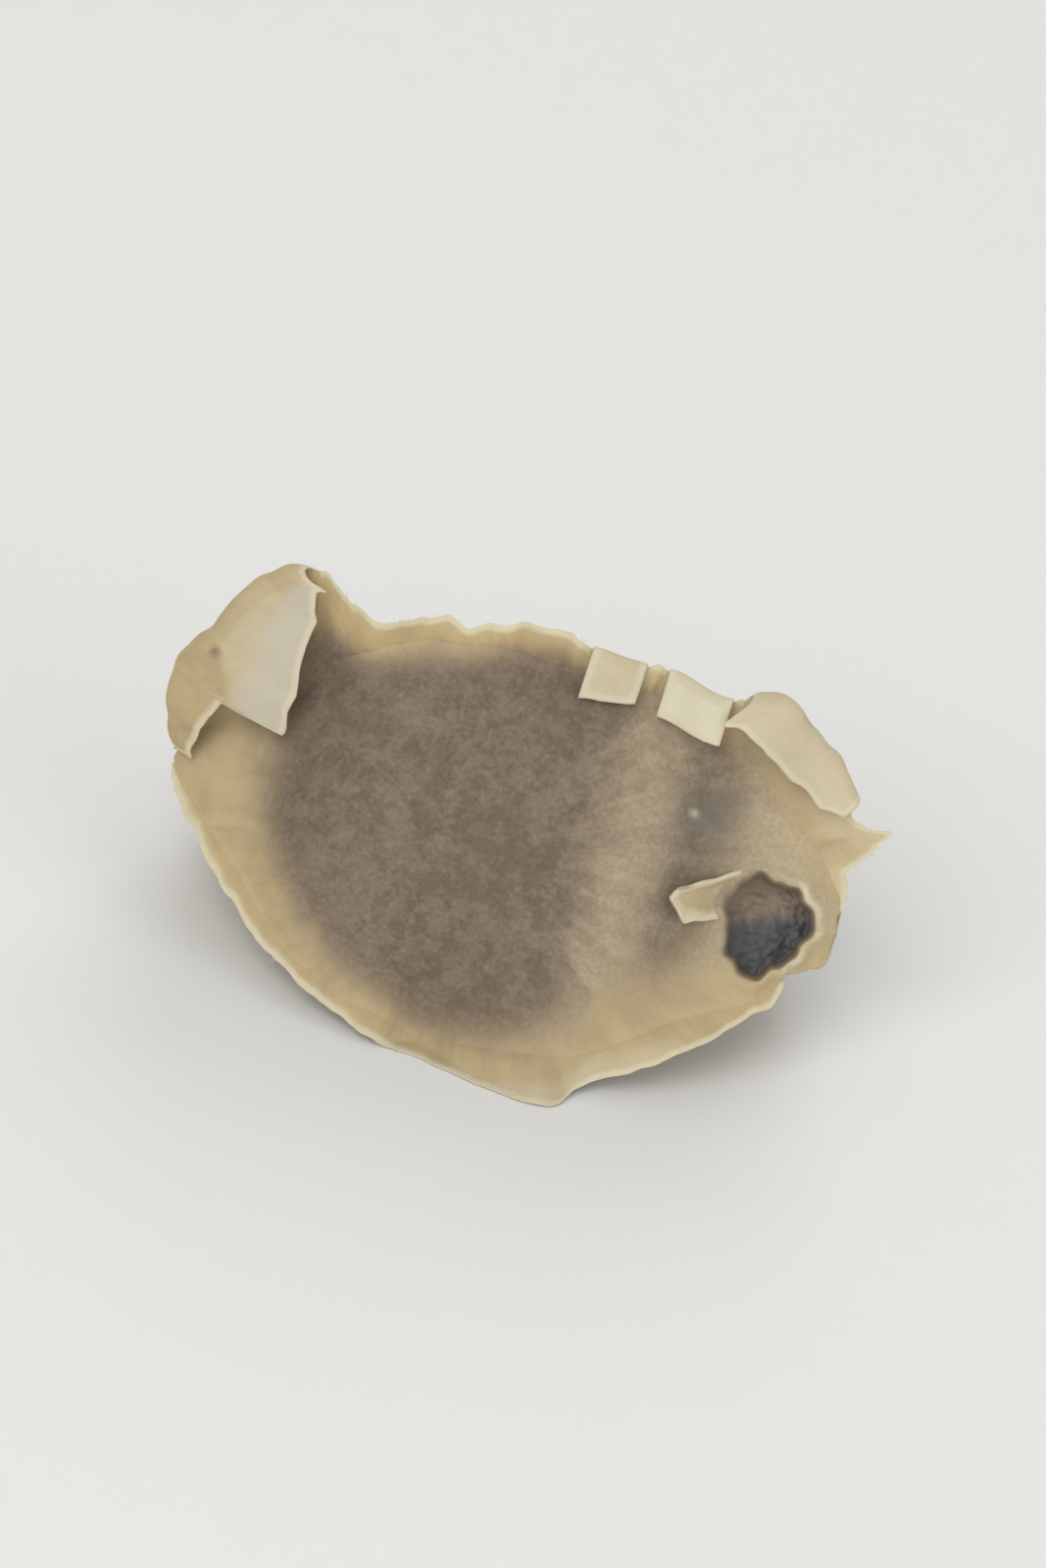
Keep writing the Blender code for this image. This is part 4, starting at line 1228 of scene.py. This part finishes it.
class SeedColours(bpy.types.PropertyGroup):
    """Colours of the seed coat, and the painted light and shade of its hollow."""

    hull_dark: colour_property("Hull dark", "Darker brown of the hull", (0.148, 0.112, 0.083))
    hull_light: colour_property("Hull light", "Lighter brown of the hull", (0.196, 0.151, 0.112))
    hull_pale: colour_property("Hull pale", "Pale, rosy tan where the coat is thin", (0.430, 0.350, 0.230))
    fleck: colour_property("Fleck", "Fine pale flecks of the hull", (0.300, 0.245, 0.185))
    stain: colour_property("Stain", "Dark stain beside the hollow", (0.160, 0.148, 0.125))
    tan: colour_property("Tan", "Darker streaks between hull and wings", (0.410, 0.318, 0.180))
    gold: colour_property("Gold", "Golden slope between hull and wings", (0.480, 0.375, 0.210))
    cream: colour_property("Cream", "Papery edges of the wings", (0.525, 0.445, 0.300))
    cream_dark: colour_property("Dark cream", "Stained parts of the papery edges", (0.490, 0.400, 0.250))
    rim: colour_property("Rim", "Thin torn edges", (0.640, 0.570, 0.410))
    flake: colour_property("Flake", "Folded white flaps", (0.670, 0.610, 0.450))
    flake_grey: colour_property("Grey flake", "Dull white of the widest flaps", (0.495, 0.445, 0.345))
    # The hollow's colours are painted light and shade: a lighter upper wall and a dark grey painted shade at
    # its bottom.
    hollow_lit_wall: colour_property("Hollow wall", "Upper wall of the torn hollow", (0.300, 0.235, 0.180))
    hollow: colour_property("Hollow", "Bottom of the torn hollow", (0.115, 0.115, 0.118))


class SeedStage(bpy.types.PropertyGroup):
    """Camera, light and floor."""

    elevation: bpy.props.FloatProperty(
        name="Camera elevation", description="Angle of the camera over the ground",
        subtype="ANGLE", min=0.0, max=math.pi / 2, default=math.radians(30.0))
    roll: bpy.props.FloatProperty(
        name="Camera roll", description="Turn of the camera about its line of sight",
        subtype="ANGLE", min=-math.pi, max=math.pi, default=math.radians(15.0))
    distance: bpy.props.FloatProperty(
        name="Camera distance", description="Distance of the camera from the seed",
        unit="LENGTH", min=0.05, max=2.0, default=0.25)
    lens: bpy.props.FloatProperty(
        name="Lens", description="Focal length in millimetres", min=20.0, max=400.0, default=200.0)
    floor: colour_property("Floor", "Colour of the floor", (0.80, 0.80, 0.79))
    key_power: bpy.props.FloatProperty(
        name="Key light", description="Power of the main light", unit="POWER", min=0.0, max=100.0,
        default=2.0)
    fill_power: bpy.props.FloatProperty(
        name="Fill light", description="Power of the fill lights", unit="POWER", min=0.0, max=100.0,
        default=0.8)
    sky_strength: bpy.props.FloatProperty(
        name="Sky", description="Strength of the even light all round", min=0.0, max=5.0, default=0.48)


class SEED_OT_add_hull(bpy.types.Operator):
    """Adds the brown hull with its torn hollow"""

    bl_idname = "seed.add_hull"
    bl_label = "Hull"

    def execute(self, context):
        hull = add_object("seed_hull", hull_mesh())
        dress(hull, coat_material("seed_coat_hull", context.scene.seed_colours, False))
        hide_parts(SEED_NODE)
        return {"FINISHED"}


class SEED_OT_add_wings(bpy.types.Operator):
    """Adds the three papery wings with their folded flaps"""

    bl_idname = "seed.add_wings"
    bl_label = "Wings"

    def execute(self, context):
        coat = coat_material("seed_coat_wing", context.scene.seed_colours, True)
        for name in WINGS:
            dress(wing_object(name, context.scene.seed_shape.wing_thickness), coat)
        return {"FINISHED"}


class SEED_OT_add_tongue(bpy.types.Operator):
    """Adds the tongue of coat peeled back from the hollow"""

    bl_idname = "seed.add_tongue"
    bl_label = "Peeled tongue"

    def execute(self, context):
        tongue = tongue_object(context.scene.seed_shape.tongue_thickness)
        dress(tongue, coat_material("seed_coat_tongue", context.scene.seed_colours, True))
        return {"FINISHED"}


class SEED_OT_add_fibres(bpy.types.Operator):
    """Adds loose fibres to the torn edges"""

    bl_idname = "seed.add_fibres"
    bl_label = "Torn fibres"

    def execute(self, context):
        fibres = fibre_object(context.scene.seed_shape.fibre_radius)
        dress(fibres, plain_material("fibre", context.scene.seed_colours.rim, FIBRE_ROUGHNESS))
        return {"FINISHED"}


def aim(made, target):
    """Points a light or camera at a place."""
    made.rotation_mode = "QUATERNION"
    made.rotation_quaternion = (Vector(target) - made.location).to_track_quat("-Z", "Y")


def add_light(name, power, size, location, target):
    """A soft square light."""
    lamp = bpy.data.lights.new(name, "AREA")
    lamp.energy = power
    lamp.size = size
    made = add_object(name, lamp)
    made.location = location
    aim(made, target)


def add_bowl(colour):
    """Floor that curves up into a wall all round, so that no horizon shows."""
    bowl = bmesh.new()
    profile = [(0.0, 0.0), (BOWL_FLAT, 0.0)]
    for turn in np.linspace(0.0, math.pi / 2, BOWL_BEND_STEPS)[1:]:
        profile.append((BOWL_FLAT + BOWL_BEND * math.sin(turn), BOWL_BEND * (1.0 - math.cos(turn))))
    profile.append((BOWL_FLAT + BOWL_BEND, BOWL_WALL))
    verts = [bowl.verts.new((reach, 0.0, height)) for reach, height in profile]
    edges = [bowl.edges.new(pair) for pair in zip(verts, verts[1:])]
    bmesh.ops.spin(bowl, geom=verts + edges, cent=(0, 0, 0), axis=(0, 0, 1), angle=2 * math.pi,
                   steps=BOWL_SIDES, use_merge=True)
    bmesh.ops.remove_doubles(bowl, verts=bowl.verts[:], dist=BOWL_WELD)
    mesh = mesh_from(bowl, "floor")
    mesh.shade_smooth()
    mesh.materials.append(plain_material("floor", colour, FLOOR_ROUGHNESS))
    floor = add_object("floor", mesh)
    floor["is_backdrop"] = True


class SEED_OT_add_stage(bpy.types.Operator):
    """Adds the floor, the lights and the camera"""

    bl_idname = "seed.add_stage"
    bl_label = "Stage"

    def execute(self, context):
        scene = context.scene
        stage = scene.seed_stage
        low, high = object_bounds()
        centre = (low + high) / 2
        add_bowl(stage.floor)
        for name, power, size, location in LIGHTS:
            add_light(name, getattr(stage, power), size, location, centre)
        world = bpy.data.worlds.new("even_light")
        world.use_nodes = True
        sky = world.node_tree.nodes["Background"]
        sky.inputs["Color"].default_value = SKY_COLOUR
        sky.inputs["Strength"].default_value = stage.sky_strength
        scene.world = world
        scene.view_settings.view_transform = "Standard"

        lens = bpy.data.cameras.new("camera")
        lens.lens = stage.lens
        lens.clip_start, lens.clip_end = CAMERA_CLIP
        camera = add_object("camera", lens)
        back = Vector((0.0, -math.cos(stage.elevation), math.sin(stage.elevation)))
        camera.location = centre + back * stage.distance
        aim(camera, centre)
        camera.rotation_quaternion = camera.rotation_quaternion @ Quaternion((0.0, 0.0, 1.0), stage.roll)
        scene.camera = camera
        return {"FINISHED"}


class SEED_PT_panel(bpy.types.Panel):
    """Lists the seed's pieces and settings"""

    bl_idname = "SEED_PT_panel"
    bl_label = "Moringa Seed"
    bl_space_type = "VIEW_3D"
    bl_region_type = "UI"
    bl_category = "Seed"

    def draw(self, context):
        for operator in STEPS:
            self.layout.operator(operator.bl_idname)
        for group in (context.scene.seed_shape, context.scene.seed_colours, context.scene.seed_stage):
            box = self.layout.box()
            for name in group.bl_rna.properties.keys():
                if name not in ("rna_type", "name"):
                    box.prop(group, name)


STEPS = (SEED_OT_add_hull, SEED_OT_add_wings, SEED_OT_add_tongue, SEED_OT_add_fibres, SEED_OT_add_stage)
GROUPS = {"seed_shape": SeedShape, "seed_colours": SeedColours, "seed_stage": SeedStage}


def register():
    for group in GROUPS.values():
        bpy.utils.register_class(group)
    for made in (*STEPS, SEED_PT_panel):
        bpy.utils.register_class(made)
    for name, group in GROUPS.items():
        setattr(bpy.types.Scene, name, bpy.props.PointerProperty(type=group))


def unregister():
    for name in GROUPS:
        delattr(bpy.types.Scene, name)
    for made in (SEED_PT_panel, *reversed(STEPS), *reversed(GROUPS.values())):
        bpy.utils.unregister_class(made)


def main():
    """Builds the seed and its stage."""
    register()
    bpy.ops.seed.add_hull()
    bpy.ops.seed.add_wings()
    bpy.ops.seed.add_tongue()
    bpy.ops.seed.add_fibres()
    bpy.ops.seed.add_stage()


if __name__ == "__main__":
    main()
